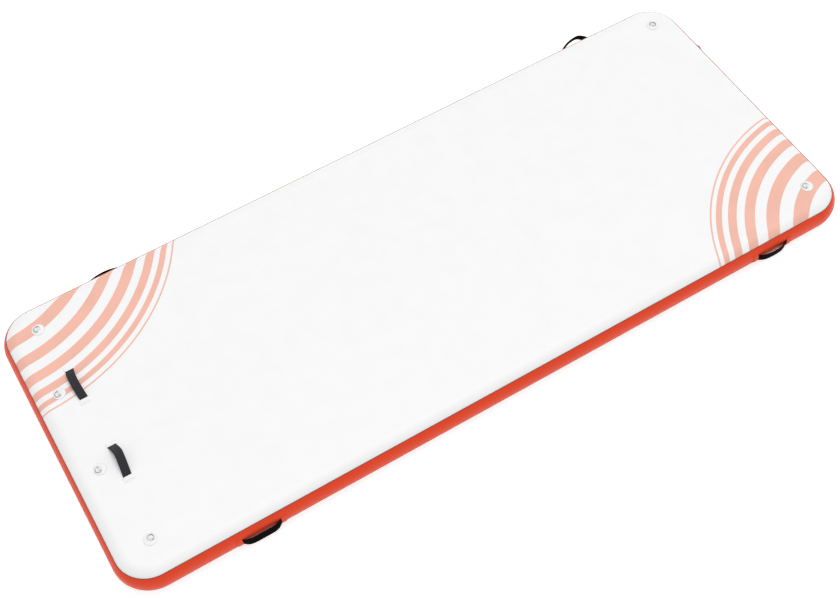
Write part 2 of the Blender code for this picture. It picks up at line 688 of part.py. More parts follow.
def make_valve_cap(cap_material, rubber_material):
    """The cap that turns in the valve's mouth, its gasket and the tether that keeps it."""
    plug_radius = VALVE_BORE_RADIUS - RUNNING_GAP
    groove_radius = plug_radius - CAP_GROOVE_DEPTH
    shoulder = VALVE_NECK_FRONT + SEAT_GAP
    head_back = shoulder + TETHER_THICKNESS + 2 * RUNNING_GAP
    head_front = head_back + CAP_HEAD_THICKNESS
    groove_back = -CAP_GROOVE_START - CAP_GROOVE_WIDTH
    profile = [
        (head_front, CAP_HEAD_RADIUS - CAP_HEAD_CHAMFER),
        (head_front - CAP_HEAD_CHAMFER, CAP_HEAD_RADIUS),
        (head_back, CAP_HEAD_RADIUS),
        (head_back, CAP_SHOULDER_RADIUS),
        (shoulder, CAP_SHOULDER_RADIUS),
        (shoulder, plug_radius),
        (-CAP_GROOVE_START, plug_radius),
        (-CAP_GROOVE_START, groove_radius),
        (groove_back, groove_radius),
        (groove_back, plug_radius),
        (-CAP_PLUG_DEPTH, plug_radius),
    ]
    cap = place("valve_cap", turned("valve_cap", profile, closed=False), cap_material, VALVE_POINT)
    grip_outline = rounded_rectangle(CAP_GRIP_WIDTH / 2, CAP_GRIP_LENGTH / 2,
                                     CAP_GRIP_CORNER, 3)
    grip_depth = (CAP_GRIP_HEIGHT + CAP_HEAD_THICKNESS / 2) / 2
    grip_data = extrude_outline("valve_cap_grip", grip_outline, 0, grip_depth)
    grip_place = VALVE_POINT + Vector((head_front + CAP_GRIP_HEIGHT - grip_depth, 0, 0))
    combine(cap, place("valve_cap_grip", grip_data, cap_material, grip_place), "UNION")
    gasket_profile = [
        (-CAP_GROOVE_START - RUNNING_GAP, groove_radius + RUNNING_GAP),
        (-CAP_GROOVE_START - RUNNING_GAP, plug_radius),
        (groove_back + RUNNING_GAP, plug_radius),
        (groove_back + RUNNING_GAP, groove_radius + RUNNING_GAP),
    ]
    place("valve_cap_gasket", turned("valve_cap_gasket", gasket_profile, closed=True),
          rubber_material, VALVE_POINT)
    tether_front = shoulder + RUNNING_GAP + TETHER_THICKNESS
    tether_back = shoulder + RUNNING_GAP
    tether_inner = CAP_SHOULDER_RADIUS + RUNNING_GAP
    tether_profile = [
        (tether_back, tether_inner),
        (tether_front, tether_inner),
        (tether_front, tether_inner + TETHER_RING_WIDTH),
        (tether_back, tether_inner + TETHER_RING_WIDTH),
    ]
    tether = place("valve_cap_tether", turned("valve_cap_tether", tether_profile, closed=True),
                   rubber_material, VALVE_POINT)
    strip_start = tether_inner + TETHER_RING_WIDTH / 2
    strip_outline = [
        (-TETHER_STRIP_WIDTH / 2, -strip_start),
        (TETHER_STRIP_WIDTH / 2, -strip_start),
        (TETHER_STRIP_WIDTH / 2, -TETHER_STRIP_END),
        (-TETHER_STRIP_WIDTH / 2, -TETHER_STRIP_END),
    ]
    strip_data = extrude_outline("valve_tether_strip", strip_outline, 0, TETHER_THICKNESS / 4)
    strip_place = VALVE_POINT + Vector(((tether_front + tether_back) / 2, 0, 0))
    combine(tether, place("valve_tether_strip", strip_data, rubber_material, strip_place), "UNION")
    button_profile = [(tether_front, TETHER_BUTTON_RADIUS),
                      (VALVE_FLANGE_FRONT + SEAT_GAP, TETHER_BUTTON_RADIUS)]
    button_data = turned("valve_tether_button", button_profile, closed=False)
    button_place = VALVE_POINT + Vector((0, 0, -TETHER_STRIP_END + TETHER_BUTTON_RADIUS))
    combine(tether, place("valve_tether_button", button_data, rubber_material, button_place),
            "UNION")


def main():
    """Clear the scene and build every piece."""
    for item in list(bpy.data.objects):
        bpy.data.objects.remove(item, do_unlink=True)
    white_skin = make_material("white skin", WHITE_SKIN, 0.55)
    orange_skin = make_material("orange skin", ORANGE_SKIN, 0.45)
    webbing = make_material("black webbing", BLACK_WEBBING, 0.85)
    patch = make_material("white patch", WHITE_PATCH, 0.5)
    yarn = make_material("yarn", WHITE_YARN, 0.9)
    steel = make_material("stainless steel", STEEL, 0.25, 1.0)
    plastic = make_material("black plastic", BLACK_PLASTIC, 0.45)
    rubber = make_material("grey rubber", GREY_RUBBER, 0.7)

    last_step = WALL_FIRST_STEP + LAP_STEPS
    make_skin("deck_skin", range(last_step + 1), white_skin)
    make_skin("base_skin", range(ROLL_STEPS, ROLL_STEPS - last_step - 1, -1), white_skin)
    side_wall = make_side_wall(orange_skin)
    make_yarn_rows(yarn)
    make_d_rings(patch, patch, steel)
    make_deck_handles(webbing, patch)
    make_side_handles(webbing, orange_skin)
    make_valve_hole(side_wall)
    make_valve_patch(orange_skin)
    make_valve_body(plastic)
    make_valve_nut(plastic)
    make_valve_stem(plastic, rubber, steel)
    make_valve_cap(plastic, rubber)


main()
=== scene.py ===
"""Looks of an inflatable dock platform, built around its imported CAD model.

The platform is made as the workshop makes it: a drop-stitch hull of coated fabric, tie-down rings
on round patches, webbing handles glued to the deck and to the side wall, and a push-stem air valve
in the end wall. Lengths are in metres, in the frame of the CAD model: X runs along the platform,
Y across it, Z up, and the origin is the middle of its underside.
"""

from __future__ import annotations

import logging
import math
from dataclasses import dataclass, field
from enum import Enum
from typing import Callable, Iterable, Sequence

import bmesh
import bpy
from mathutils import Matrix, Vector


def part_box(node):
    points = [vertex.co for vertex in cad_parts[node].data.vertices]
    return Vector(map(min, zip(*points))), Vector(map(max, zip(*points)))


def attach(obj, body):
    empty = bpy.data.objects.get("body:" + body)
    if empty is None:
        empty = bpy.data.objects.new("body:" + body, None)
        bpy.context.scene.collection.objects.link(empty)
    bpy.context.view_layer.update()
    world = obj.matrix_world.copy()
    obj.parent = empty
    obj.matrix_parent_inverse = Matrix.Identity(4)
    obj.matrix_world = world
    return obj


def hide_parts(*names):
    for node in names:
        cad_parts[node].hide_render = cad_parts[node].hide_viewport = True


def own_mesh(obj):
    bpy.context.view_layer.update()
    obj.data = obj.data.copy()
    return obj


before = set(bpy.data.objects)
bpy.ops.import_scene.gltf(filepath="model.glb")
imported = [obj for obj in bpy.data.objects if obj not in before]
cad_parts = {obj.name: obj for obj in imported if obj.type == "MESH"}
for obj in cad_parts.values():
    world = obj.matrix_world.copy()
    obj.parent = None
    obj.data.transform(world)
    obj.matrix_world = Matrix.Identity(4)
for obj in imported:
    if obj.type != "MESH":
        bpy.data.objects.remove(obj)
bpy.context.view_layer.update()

LOG = logging.getLogger("dock_platform")
HULL = "hull"
GAP = 0.0003
MILLIMETRE = 0.001


def linear(code: str) -> tuple[float, float, float, float]:
    """Turn an sRGB hex colour into linear light.

    Args:
        code: Six hexadecimal digits, red, green and blue.

    Returns:
        Linear red, green and blue, and an alpha of 1.
    """
    shares = [int(code[start:start + 2], 16) / 255 for start in (0, 2, 4)]
    red, green, blue = (s / 12.92 if s <= 0.04045 else ((s + 0.055) / 1.055) ** 2.4 for s in shares)
    return red, green, blue, 1.0


def add_node(tree: bpy.types.NodeTree, kind: str, inputs: dict[str | int, object] | None = None,
             **settings: object) -> bpy.types.Node:
    """Add a node with its settings, its input values and the links into it.

    Args:
        tree: The node tree that the node goes into.
        kind: The node's type, without the leading "ShaderNode".
        inputs: By input name or number, either a socket to link from or a plain value.
        settings: Properties of the node itself.

    Returns:
        The new node.
    """
    node = tree.nodes.new(f"ShaderNode{kind}")
    for name, value in settings.items():
        setattr(node, name, value)
    for name, value in (inputs or {}).items():
        if isinstance(value, bpy.types.NodeSocket):
            tree.links.new(value, node.inputs[name])
        else:
            node.inputs[name].default_value = value
    return node


def set_stops(node: bpy.types.Node, stops: Sequence[tuple[float, tuple[float, ...]]],
              interpolation: str = "LINEAR") -> None:
    """Give a colour ramp its stops.

    Args:
        node: The ramp node.
        stops: Pairs of a place from 0 to 1 and a linear colour, in rising order.
        interpolation: How the ramp runs from stop to stop.
    """
    ramp = node.color_ramp
    ramp.interpolation = interpolation
    while len(ramp.elements) < len(stops):
        ramp.elements.new(0.5)
    for element, (place, colour) in zip(ramp.elements, stops):
        element.position = place
        element.color = colour


def start_material(name: str) -> tuple[bpy.types.Material, bpy.types.NodeTree, bpy.types.Node]:
    """Start a material on Principled BSDF.

    Args:
        name: The material's name.

    Returns:
        The material, its node tree and its shader node.
    """
    material = bpy.data.materials.new(name)
    material.use_nodes = True
    return material, material.node_tree, material.node_tree.nodes["Principled BSDF"]


# ---------------------------------------------------------------------------------- finishes


@dataclass(frozen=True)
class ArcPrint:
    """Arcs printed on the deck about one point, wide next to the corner and thinner outwards."""

    centre: tuple[float, float]
    bands: tuple[tuple[float, float], ...]

    def mask(self, tree: bpy.types.NodeTree, flat_point: bpy.types.NodeSocket
             ) -> bpy.types.NodeSocket:
        """Where the ink lies.

        Args:
            tree: The node tree of the printed fabric.
            flat_point: The point's X and Y, with Z at 0.

        Returns:
            A socket that is 1 on the ink and 0 elsewhere.
        """
        radius = add_node(tree, "VectorMath", {0: flat_point, 1: (*self.centre, 0.0)},
                          operation="DISTANCE")
        ramp = add_node(tree, "ValToRGB", {0: radius.outputs["Value"]})
        bare, inked = (0.0, 0.0, 0.0, 1.0), (1.0, 1.0, 1.0, 1.0)
        stops = [(0.0, bare)]
        for inner, outer in self.bands:
            stops += [(inner, inked), (outer, bare)]
        set_stops(ramp, stops, "CONSTANT")
        return ramp.outputs["Color"]


@dataclass(frozen=True)
class CoatedFabric:
    """Drop-stitch fabric: polyester cloth laminated under PVC in a calender.

    The coat gives an even colour with a broad satin sheen. The cloth and the stitch yarns print
    through it as a very faint mottle, and the air pressure leaves long, soft undulations.
    """

    name: str
    colour: str
    shade: str
    roughness: float
    mottle_size: float = 0.09
    weave_pitch: float = 0.006
    weave_depth: float = 0.00008
    prints: tuple[ArcPrint, ...] = ()
    ink: str = "F5BAA8"
    ink_worn: str = "EFB6A4"
    specular: float = 0.5
    # The band's cut edges take a dark glue line, which also paints the shadow at the lap's step
    seam_half_height: float = 0.0
    seam_width: float = 0.004
    seam_glue_and_shade_colour: str = "4C4442"
    # Painted shade by height: the band is deepened towards its crown and darkened low down
    crown_bottom: float = 0.090
    crown_full: float = 0.125
    crown_shade_colour: str = "E84018"
    low_shade_top: float = 0.066
    low_shade_full: float = 0.036
    low_shade_colour: str = "8E2E22"
    mid_height: float = 0.076

    def make(self) -> bpy.types.Material:
        """Build the material.

        Returns:
            The finished material.
        """
        material, tree, shader = start_material(self.name)
        coords = add_node(tree, "TexCoord")
        point = coords.outputs["Object"]
        mottle = add_node(tree, "TexNoise", {"Vector": point, "Scale": 1 / self.mottle_size,
                                             "Detail": 3.0, "Roughness": 0.55})
        base = add_node(tree, "ValToRGB", {0: mottle.outputs["Fac"]})
        set_stops(base, [(0.30, linear(self.shade)), (0.62, linear(self.colour))])
        colour = base.outputs["Color"]
        if self.prints:
            colour = self._print(tree, point, colour)
        if self.seam_half_height:
            colour = self._shade_by_height_and_seams(tree, point, colour)
        tree.links.new(colour, shader.inputs["Base Color"])
        self._relief(tree, point, shader, mottle)
        return material

    def _print(self, tree: bpy.types.NodeTree, point: bpy.types.NodeSocket,
               colour: bpy.types.NodeSocket) -> bpy.types.NodeSocket:
        """Lay the printed arcs over the fabric's own colour.

        Args:
            tree: The material's node tree.
            point: Object coordinates.
            colour: The bare fabric's colour.

        Returns:
            The colour with the print on it.
        """
        flat = add_node(tree, "VectorMath", {0: point, 1: (1.0, 1.0, 0.0)}, operation="MULTIPLY")
        inked = None
        for arcs in self.prints:
            mask = arcs.mask(tree, flat.outputs["Vector"])
            if inked is not None:
                mask = add_node(tree, "Math", {0: inked, 1: mask},
                                operation="MAXIMUM").outputs["Value"]
            inked = mask
        # Screen-printed ink lies unevenly over a hand's breadth
        cloud = add_node(tree, "TexNoise", {"Vector": point, "Scale": 6.0, "Detail": 2.0})
        ink = add_node(tree, "ValToRGB", {0: cloud.outputs["Fac"]})
        set_stops(ink, [(0.35, linear(self.ink_worn)), (0.65, linear(self.ink))])
        mix = add_node(tree, "Mix", {"Factor": inked, 6: colour, 7: ink.outputs["Color"]},
                       data_type="RGBA")
        return mix.outputs[2]

    def _shade_by_height_and_seams(self, tree: bpy.types.NodeTree, point: bpy.types.NodeSocket,
              colour: bpy.types.NodeSocket) -> bpy.types.NodeSocket:
        """Colour the band: painted shade at its crown and low down, glue lines with painted shadow at
        its edges.

        Args:
            tree: The material's node tree.
            point: Object coordinates.
            colour: The band's colour.

        Returns:
            The colour with its painted shade and dark edges.
        """
        height = add_node(tree, "SeparateXYZ", {0: point}).outputs["Z"]
        # Dark glue line at the cut edges, with painted shadow of the lap's step
        above = add_node(tree, "Math", {0: height, 1: self.mid_height}, operation="SUBTRACT")
        away = add_node(tree, "Math", {0: above.outputs["Value"]}, operation="ABSOLUTE")
        edge = add_node(tree, "MapRange",
                        {"Value": away.outputs["Value"],
                         "From Min": self.seam_half_height - self.seam_width,
                         "From Max": self.seam_half_height}, clamp=True)
        # Painted shade: the band's colour deepens towards its crown
        high = add_node(tree, "MapRange", {"Value": height, "From Min": self.crown_bottom,
                                           "From Max": self.crown_full, "To Max": 0.9})
        crown_shaded = add_node(tree, "Mix", {"Factor": high.outputs["Result"], 6: colour,
                                       7: linear(self.crown_shade_colour)}, data_type="RGBA")
        # Painted shade: the band darkens low down, towards the floor
        low = add_node(tree, "MapRange", {"Value": height, "From Min": self.low_shade_top,
                                          "From Max": self.low_shade_full, "To Max": 0.8})
        low_shaded = add_node(tree, "Mix", {"Factor": low.outputs["Result"], 6: crown_shaded.outputs[2],
                                        7: linear(self.low_shade_colour)}, data_type="RGBA")
        mix = add_node(tree, "Mix", {"Factor": edge.outputs["Result"], 6: low_shaded.outputs[2],
                                     7: linear(self.seam_glue_and_shade_colour)}, data_type="RGBA")
        return mix.outputs[2]

    def _relief(self, tree: bpy.types.NodeTree, point: bpy.types.NodeSocket,
                shader: bpy.types.Node, mottle: bpy.types.Node) -> None:
        """Give the coat its sheen, its cloth grain and its soft undulations.

        Args:
            tree: The material's node tree.
            point: Object coordinates.
            shader: The Principled shader.
            mottle: The noise that the colour already uses.
        """
        gloss = add_node(tree, "MapRange", {"Value": mottle.outputs["Fac"],
                                            "To Min": self.roughness - 0.05,
                                            "To Max": self.roughness + 0.06})
        tree.links.new(gloss.outputs["Result"], shader.inputs["Roughness"])
        shader.inputs["IOR"].default_value = 1.47
        shader.inputs["Specular IOR Level"].default_value = self.specular
        # The cloth under the coat has about 0.6 mm between threads, which is drawn ten times
        # coarser so that it shows at all
        grain = add_node(tree, "TexNoise", {"Vector": point, "Scale": 1 / self.weave_pitch,
                                            "Detail": 2.0, "Roughness": 0.6})
        fine = add_node(tree, "Bump", {"Height": grain.outputs["Fac"],
                                       "Distance": self.weave_depth, "Strength": 0.6})
        wave = add_node(tree, "TexNoise", {"Vector": point, "Scale": 2.2, "Detail": 1.0})
        soft = add_node(tree, "Bump", {"Height": wave.outputs["Fac"], "Distance": 0.001,
                                       "Strength": 0.4, "Normal": fine.outputs["Normal"]})
        tree.links.new(soft.outputs["Normal"], shader.inputs["Normal"])


@dataclass(frozen=True)
class GluedPatch:
    """A patch of the same coated fabric, glued on by hand.

    Its face is plain, and a thin grey line follows its cut edge: glue squeezed out there, and painted
    shade where the rim stands off the hull. It reads the patch's own UV map, in metres.
    """

    name: str
    colour: str
    rim_shade_and_glue_colour: str
    roughness: float
    half_x: float
    half_y: float
    corner: float
    edge_width: float = 0.0025
    specular: float = 0.5

    def make(self) -> bpy.types.Material:
        """Build the material.

        Returns:
            The finished material.
        """
        material, tree, shader = start_material(self.name)
        flat = add_node(tree, "UVMap")
        place = add_node(tree, "SeparateXYZ", {0: flat.outputs["UV"]})
        # Distance to the rounded outline: corners first, then straight sides
        beyond = []
        for axis, half in (("X", self.half_x), ("Y", self.half_y)):
            size = add_node(tree, "Math", {0: place.outputs[axis]}, operation="ABSOLUTE")
            over = add_node(tree, "Math", {0: size.outputs["Value"], 1: half - self.corner},
                            operation="SUBTRACT")
            beyond.append(add_node(tree, "Math", {0: over.outputs["Value"], 1: 0.0},
                                   operation="MAXIMUM").outputs["Value"])
        corner = add_node(tree, "CombineXYZ", {"X": beyond[0], "Y": beyond[1]})
        reach = add_node(tree, "VectorMath", {0: corner.outputs["Vector"]}, operation="LENGTH")
        edge = add_node(tree, "MapRange", {"Value": reach.outputs["Value"],
                                           "From Min": self.corner - self.edge_width,
                                           "From Max": self.corner})
        blotch = add_node(tree, "TexNoise", {"Vector": flat.outputs["UV"], "Scale": 90.0,
                                             "Detail": 3.0})
        rim_shade_and_glue = add_node(tree, "Math", {0: edge.outputs["Result"], 1: blotch.outputs["Fac"]},
                          operation="MULTIPLY")
        # Painted shade with a glue line along the rim, blotched by noise
        mix = add_node(tree, "Mix", {"Factor": rim_shade_and_glue.outputs["Value"], 6: linear(self.colour),
                                     7: linear(self.rim_shade_and_glue_colour)}, data_type="RGBA")
        tree.links.new(mix.outputs[2], shader.inputs["Base Color"])
        shader.inputs["Roughness"].default_value = self.roughness
        shader.inputs["IOR"].default_value = 1.47
        shader.inputs["Specular IOR Level"].default_value = self.specular
        bump = add_node(tree, "Bump", {"Height": blotch.outputs["Fac"], "Distance": 0.0001,
                                       "Strength": 0.5})
        tree.links.new(bump.outputs["Normal"], shader.inputs["Normal"])
        return material


@dataclass(frozen=True)
class WovenWebbing:
    """Polyester webbing, woven in a twill: thick ribs slant across a dull, slightly hairy strip.

    Rib crowns are painted lighter, a painted highlight, so near black reads as charcoal with dark lines.
    It reads the strip's own UV map, in metres along and across.
    """

    name: str
    dark: str
    light: str
    roughness: float = 0.72
    rib_pitch: float = 0.0060
    rib_depth: float = 0.0006
    half_width: float = 0.019
    selvedge: float = 0.004
    sheen: float = 0.04
    specular: float = 0.14

    def make(self) -> bpy.types.Material:
        """Build the material.

        Returns:
            The finished material.
        """
        material, tree, shader = start_material(self.name)
        flat = add_node(tree, "UVMap")
        # The real ribs are about 2 mm apart and are drawn three times as coarse, so that they show
        turn = add_node(tree, "Mapping", {"Vector": flat.outputs["UV"],
                                          "Rotation": (0.0, 0.0, math.radians(52))})
        ribs = add_node(tree, "TexWave", {"Vector": turn.outputs["Vector"],
                                          "Scale": math.tau / (20 * self.rib_pitch),
                                          "Distortion": 0.6, "Detail": 1.0,
                                          "Detail Scale": 3.0})
        hair = add_node(tree, "TexNoise", {"Vector": flat.outputs["UV"], "Scale": 700.0,
                                           "Detail": 2.0})
        mixed = add_node(tree, "Math", {0: ribs.outputs["Fac"], 1: hair.outputs["Fac"]},
                         operation="MULTIPLY")
        # Painted highlight: the colour runs from dark in the ribs' hollows to light on their crowns
        colour = add_node(tree, "ValToRGB", {0: mixed.outputs["Value"]})
        set_stops(colour, [(0.08, linear(self.dark)), (0.46, linear(self.light))])
        # The selvedges are painted darker, as painted shade where they turn down
        place = add_node(tree, "SeparateXYZ", {0: flat.outputs["UV"]})
        side = add_node(tree, "Math", {0: place.outputs["Y"]}, operation="ABSOLUTE")
        rim = add_node(tree, "MapRange", {"Value": side.outputs["Value"],
                                          "From Min": self.half_width - self.selvedge,
                                          "From Max": self.half_width, "To Max": 0.85})
        mix = add_node(tree, "Mix", {"Factor": rim.outputs["Result"], 6: colour.outputs["Color"],
                                     7: linear(self.dark)}, data_type="RGBA")
        tree.links.new(mix.outputs[2], shader.inputs["Base Color"])
        shader.inputs["Roughness"].default_value = self.roughness
        shader.inputs["Specular IOR Level"].default_value = self.specular
        shader.inputs["Sheen Weight"].default_value = self.sheen
        shader.inputs["Sheen Roughness"].default_value = 0.45
        bump = add_node(tree, "Bump", {"Height": mixed.outputs["Value"],
                                       "Distance": self.rib_depth, "Strength": 0.8})
        tree.links.new(bump.outputs["Normal"], shader.inputs["Normal"])
        return material


@dataclass(frozen=True)
class DrawnSteel:
    """Stainless steel wire, drawn, bent, welded and tumbled bright: mirror-like with fine drag lines."""

    name: str
    colour: str = "B4B6B8"
    dull: str = "8E9093"
    roughness: float = 0.2

    def make(self) -> bpy.types.Material:
        """Build the material.

        Returns:
            The finished material.
        """
        material, tree, shader = start_material(self.name)
        coords = add_node(tree, "TexCoord")
        stain = add_node(tree, "TexNoise", {"Vector": coords.outputs["Object"], "Scale": 180.0,
                                            "Detail": 4.0})
        colour = add_node(tree, "ValToRGB", {0: stain.outputs["Fac"]})
        set_stops(colour, [(0.35, linear(self.dull)), (0.6, linear(self.colour))])
        tree.links.new(colour.outputs["Color"], shader.inputs["Base Color"])
        gloss = add_node(tree, "MapRange", {"Value": stain.outputs["Fac"],
                                            "To Min": self.roughness - 0.06,
                                            "To Max": self.roughness + 0.12})
        tree.links.new(gloss.outputs["Result"], shader.inputs["Roughness"])
        shader.inputs["Metallic"].default_value = 1.0
        return material


@dataclass(frozen=True)
class MouldedPlastic:
    """Glass-filled nylon out of a spark-eroded mould: even, near black, with a fine satin grain."""

    name: str
    colour: str
    light: str
    roughness: float = 0.42
    grain: float = 0.0012

    def make(self) -> bpy.types.Material:
        """Build the material.

        Returns:
            The finished material.
        """
        material, tree, shader = start_material(self.name)
        coords = add_node(tree, "TexCoord")
        # Spark grain is about 0.1 mm across and is drawn coarser, so that it breaks the shine
        grain = add_node(tree, "TexNoise", {"Vector": coords.outputs["Object"],
                                            "Scale": 1 / self.grain, "Detail": 2.0})
        flow = add_node(tree, "TexNoise", {"Vector": coords.outputs["Object"], "Scale": 60.0,
                                           "Detail": 1.0})
        colour = add_node(tree, "ValToRGB", {0: flow.outputs["Fac"]})
        set_stops(colour, [(0.35, linear(self.colour)), (0.7, linear(self.light))])
        tree.links.new(colour.outputs["Color"], shader.inputs["Base Color"])
        gloss = add_node(tree, "MapRange", {"Value": grain.outputs["Fac"],
                                            "To Min": self.roughness - 0.08,
                                            "To Max": self.roughness + 0.08})
        tree.links.new(gloss.outputs["Result"], shader.inputs["Roughness"])
        shader.inputs["IOR"].default_value = 1.53
        bump = add_node(tree, "Bump", {"Height": grain.outputs["Fac"], "Distance": 0.00005,
                                       "Strength": 0.6})
        tree.links.new(bump.outputs["Normal"], shader.inputs["Normal"])
        return material


@dataclass(frozen=True)
class TwistedYarn:
    """Polyester yarn, spun and plied: soft, dull and off-white with a slanting twist."""

    name: str
    colour: str
    shade: str

    def make(self) -> bpy.types.Material:
        """Build the material.

        Returns:
            The finished material.
        """
        material, tree, shader = start_material(self.name)
        coords = add_node(tree, "TexCoord")
        turn = add_node(tree, "Mapping", {"Vector": coords.outputs["Object"],
                                          "Rotation": (0.6, 0.5, 0.7)})
        twist = add_node(tree, "TexWave", {"Vector": turn.outputs["Vector"], "Scale": 90.0,
                                           "Distortion": 1.0})
        colour = add_node(tree, "ValToRGB", {0: twist.outputs["Fac"]})
        set_stops(colour, [(0.1, linear(self.shade)), (0.6, linear(self.colour))])
        tree.links.new(colour.outputs["Color"], shader.inputs["Base Color"])
        shader.inputs["Roughness"].default_value = 0.9
        shader.inputs["Sheen Weight"].default_value = 0.2
        bump = add_node(tree, "Bump", {"Height": twist.outputs["Fac"], "Distance": 0.0003})
        tree.links.new(bump.outputs["Normal"], shader.inputs["Normal"])
        return material


class Slot(Enum):
    """The material slots of the pieces."""

    WHITE_SKIN = "white_skin"
    ORANGE_SKIN = "orange_skin"
    WHITE_PATCH = "white_patch"
    RING_STRAP = "ring_strap"
    RING_STEEL = "ring_steel"
    WEBBING = "webbing"
    YARN = "yarn"
    VALVE_PLASTIC = "valve_plastic"
    VALVE_RUBBER = "valve_rubber"
    VALVE_STEEL = "valve_steel"


# ------------------------------------------------------------------------------ mesh helpers


def make_piece(name: str, mesh: bmesh.types.BMesh, material: bpy.types.Material,
               crease: float = 35.0) -> bpy.types.Object:
    """Turn a finished bmesh into an object with its faces pointing out.

    Args:
        name: The piece's name.
        mesh: The closed mesh, which this frees.
        material: The piece's finish.
        crease: The angle in degrees above which an edge stays sharp.

    Returns:
        The object, linked into the scene.
    """
    if mesh.calc_volume(signed=True) < 0:
        bmesh.ops.reverse_faces(mesh, faces=mesh.faces)
    data = bpy.data.meshes.new(name)
    mesh.to_mesh(data)
    mesh.free()
    data.shade_smooth()
    data.set_sharp_from_angle(angle=math.radians(crease))
    data.materials.append(material)
    piece = bpy.data.objects.new(name, data)
    bpy.context.scene.collection.objects.link(piece)
    return piece


def mount_piece(piece: bpy.types.Object, body: str, slot: Slot, *nodes: str) -> bpy.types.Object:
    """Let a piece ride on a body and stand for its CAD nodes.

    Args:
        piece: The finished piece.
        body: The CAD body that it moves with.
        slot: The material slot; it is not used.
        nodes: The CAD nodes that it stands for.

    Returns:
        The same piece.
    """
    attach(piece, body)
    if nodes:
        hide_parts(*nodes)
    LOG.info("%s rides on %s", piece.name, body)
    return piece


def write_uv(mesh: bmesh.types.BMesh) -> None:
    """Write each vertex's X and Y into the mesh's UV map, in metres, while it still lies flat."""
    layer = mesh.loops.layers.uv.verify()
    for face in mesh.faces:
        for corner in face.loops:
            corner[layer].uv = corner.vert.co.xy


def steep_edges(mesh: bmesh.types.BMesh, angle: float = 60.0) -> list[bmesh.types.BMEdge]:
    """Edges that turn by more than an angle in degrees."""
    return [e for e in mesh.edges if e.is_manifold and e.calc_face_angle(0) > math.radians(angle)]


def round_edges(mesh: bmesh.types.BMesh, edges: Iterable[bmesh.types.BMEdge], radius: float,
                segments: int = 2) -> None:
    """Round off edges.

    Args:
        mesh: The mesh to change.
        edges: The edges to round.
        radius: How far from the edge the rounding starts.
        segments: How many faces it has.
    """
    bmesh.ops.bevel(mesh, geom=list(edges), offset=radius, segments=segments, profile=0.5,
                    affect="EDGES", material=-1)


def flat_plate(length: float, width: float, thickness: float, corner: float, rim: float,
               segments: int = 8) -> bmesh.types.BMesh:
    """A flat plate with rounded corners and a rounded upper rim, its underside at Z 0.

    Args:
        length: Size along X.
        width: Size along Y.
        thickness: Size along Z.
        corner: Radius of its corners seen from above.
        rim: Rounding of its upper edge.
        segments: Faces to each corner.

    Returns:
        The plate's mesh, with a flat UV map in metres.
    """
    mesh = bmesh.new()
    bmesh.ops.create_cube(mesh, size=1)
    bmesh.ops.scale(mesh, vec=(length, width, thickness), verts=mesh.verts)
    bmesh.ops.translate(mesh, vec=(0, 0, thickness / 2), verts=mesh.verts)
    upright = [e for e in mesh.edges if abs(e.verts[0].co.z - e.verts[1].co.z) > thickness / 2]
    round_edges(mesh, upright, corner, segments)
    top = [e for e in mesh.edges if all(v.co.z > thickness * 0.9 for v in e.verts)]
    round_edges(mesh, top, rim)
    write_uv(mesh)
    return mesh


def cut_across(mesh: bmesh.types.BMesh, places: Iterable[float], axis: Vector) -> None:
    """Cut a mesh along parallel planes.

    Args:
        mesh: The mesh to cut.
        places: How far along the axis each plane stands.
        axis: The direction across the planes.
    """
    for place in places:
        geometry = mesh.verts[:] + mesh.edges[:] + mesh.faces[:]
        bmesh.ops.bisect_plane(mesh, geom=geometry, dist=1e-6, plane_co=axis * place,
                               plane_no=axis)


def spun(profile: Sequence[tuple[float, float]], segments: int = 64) -> bmesh.types.BMesh:
    """A piece turned about the X axis from a closed profile that keeps clear of the axis.

    Args:
        profile: Pairs of a place along X and a radius.
        segments: Faces around the axis.

    Returns:
        The turned mesh.
    """
    mesh = bmesh.new()
    corners = [mesh.verts.new((along, 0, radius)) for along, radius in profile]
    edges = [mesh.edges.new(pair) for pair in zip(corners, corners[1:] + corners[:1])]
    bmesh.ops.spin(mesh, geom=corners + edges, cent=(0, 0, 0), axis=(1, 0, 0),
                   angle=2 * math.pi, steps=segments, use_merge=True)
    bmesh.ops.remove_doubles(mesh, verts=mesh.verts, dist=1e-6)
    bmesh.ops.recalc_face_normals(mesh, faces=mesh.faces)
    return mesh


class LaidLine:
    """A line in a plane, given as points, that webbing is laid along."""

    def __init__(self, points: Sequence[tuple[float, float]], smoothing: int = 0) -> None:
        """Take the line's points and measure it.

        Args:
            points: Pairs of a place along and a height.
            smoothing: How often its corners are cut off.
        """
        line = [Vector(point) for point in points]
        for _ in range(smoothing):
            cut = [line[0]]
            for start, end in zip(line, line[1:]):
                cut += [start.lerp(end, 0.25), start.lerp(end, 0.75)]
            line = cut + [line[-1]]
        self.points = line
        self.places = [0.0]
        for start, end in zip(line, line[1:]):
            self.places.append(self.places[-1] + (end - start).length)
        self.length = self.places[-1]

    def at(self, distance: float) -> Vector:
        """The point at a distance along the line from its start."""
        distance = min(max(distance, 0.0), self.length)
        for i in range(1, len(self.places)):
            if distance <= self.places[i]:
                span = self.places[i] - self.places[i - 1]
                return self.points[i - 1].lerp(self.points[i], (distance - self.places[i - 1]) / span)
        return self.points[-1]


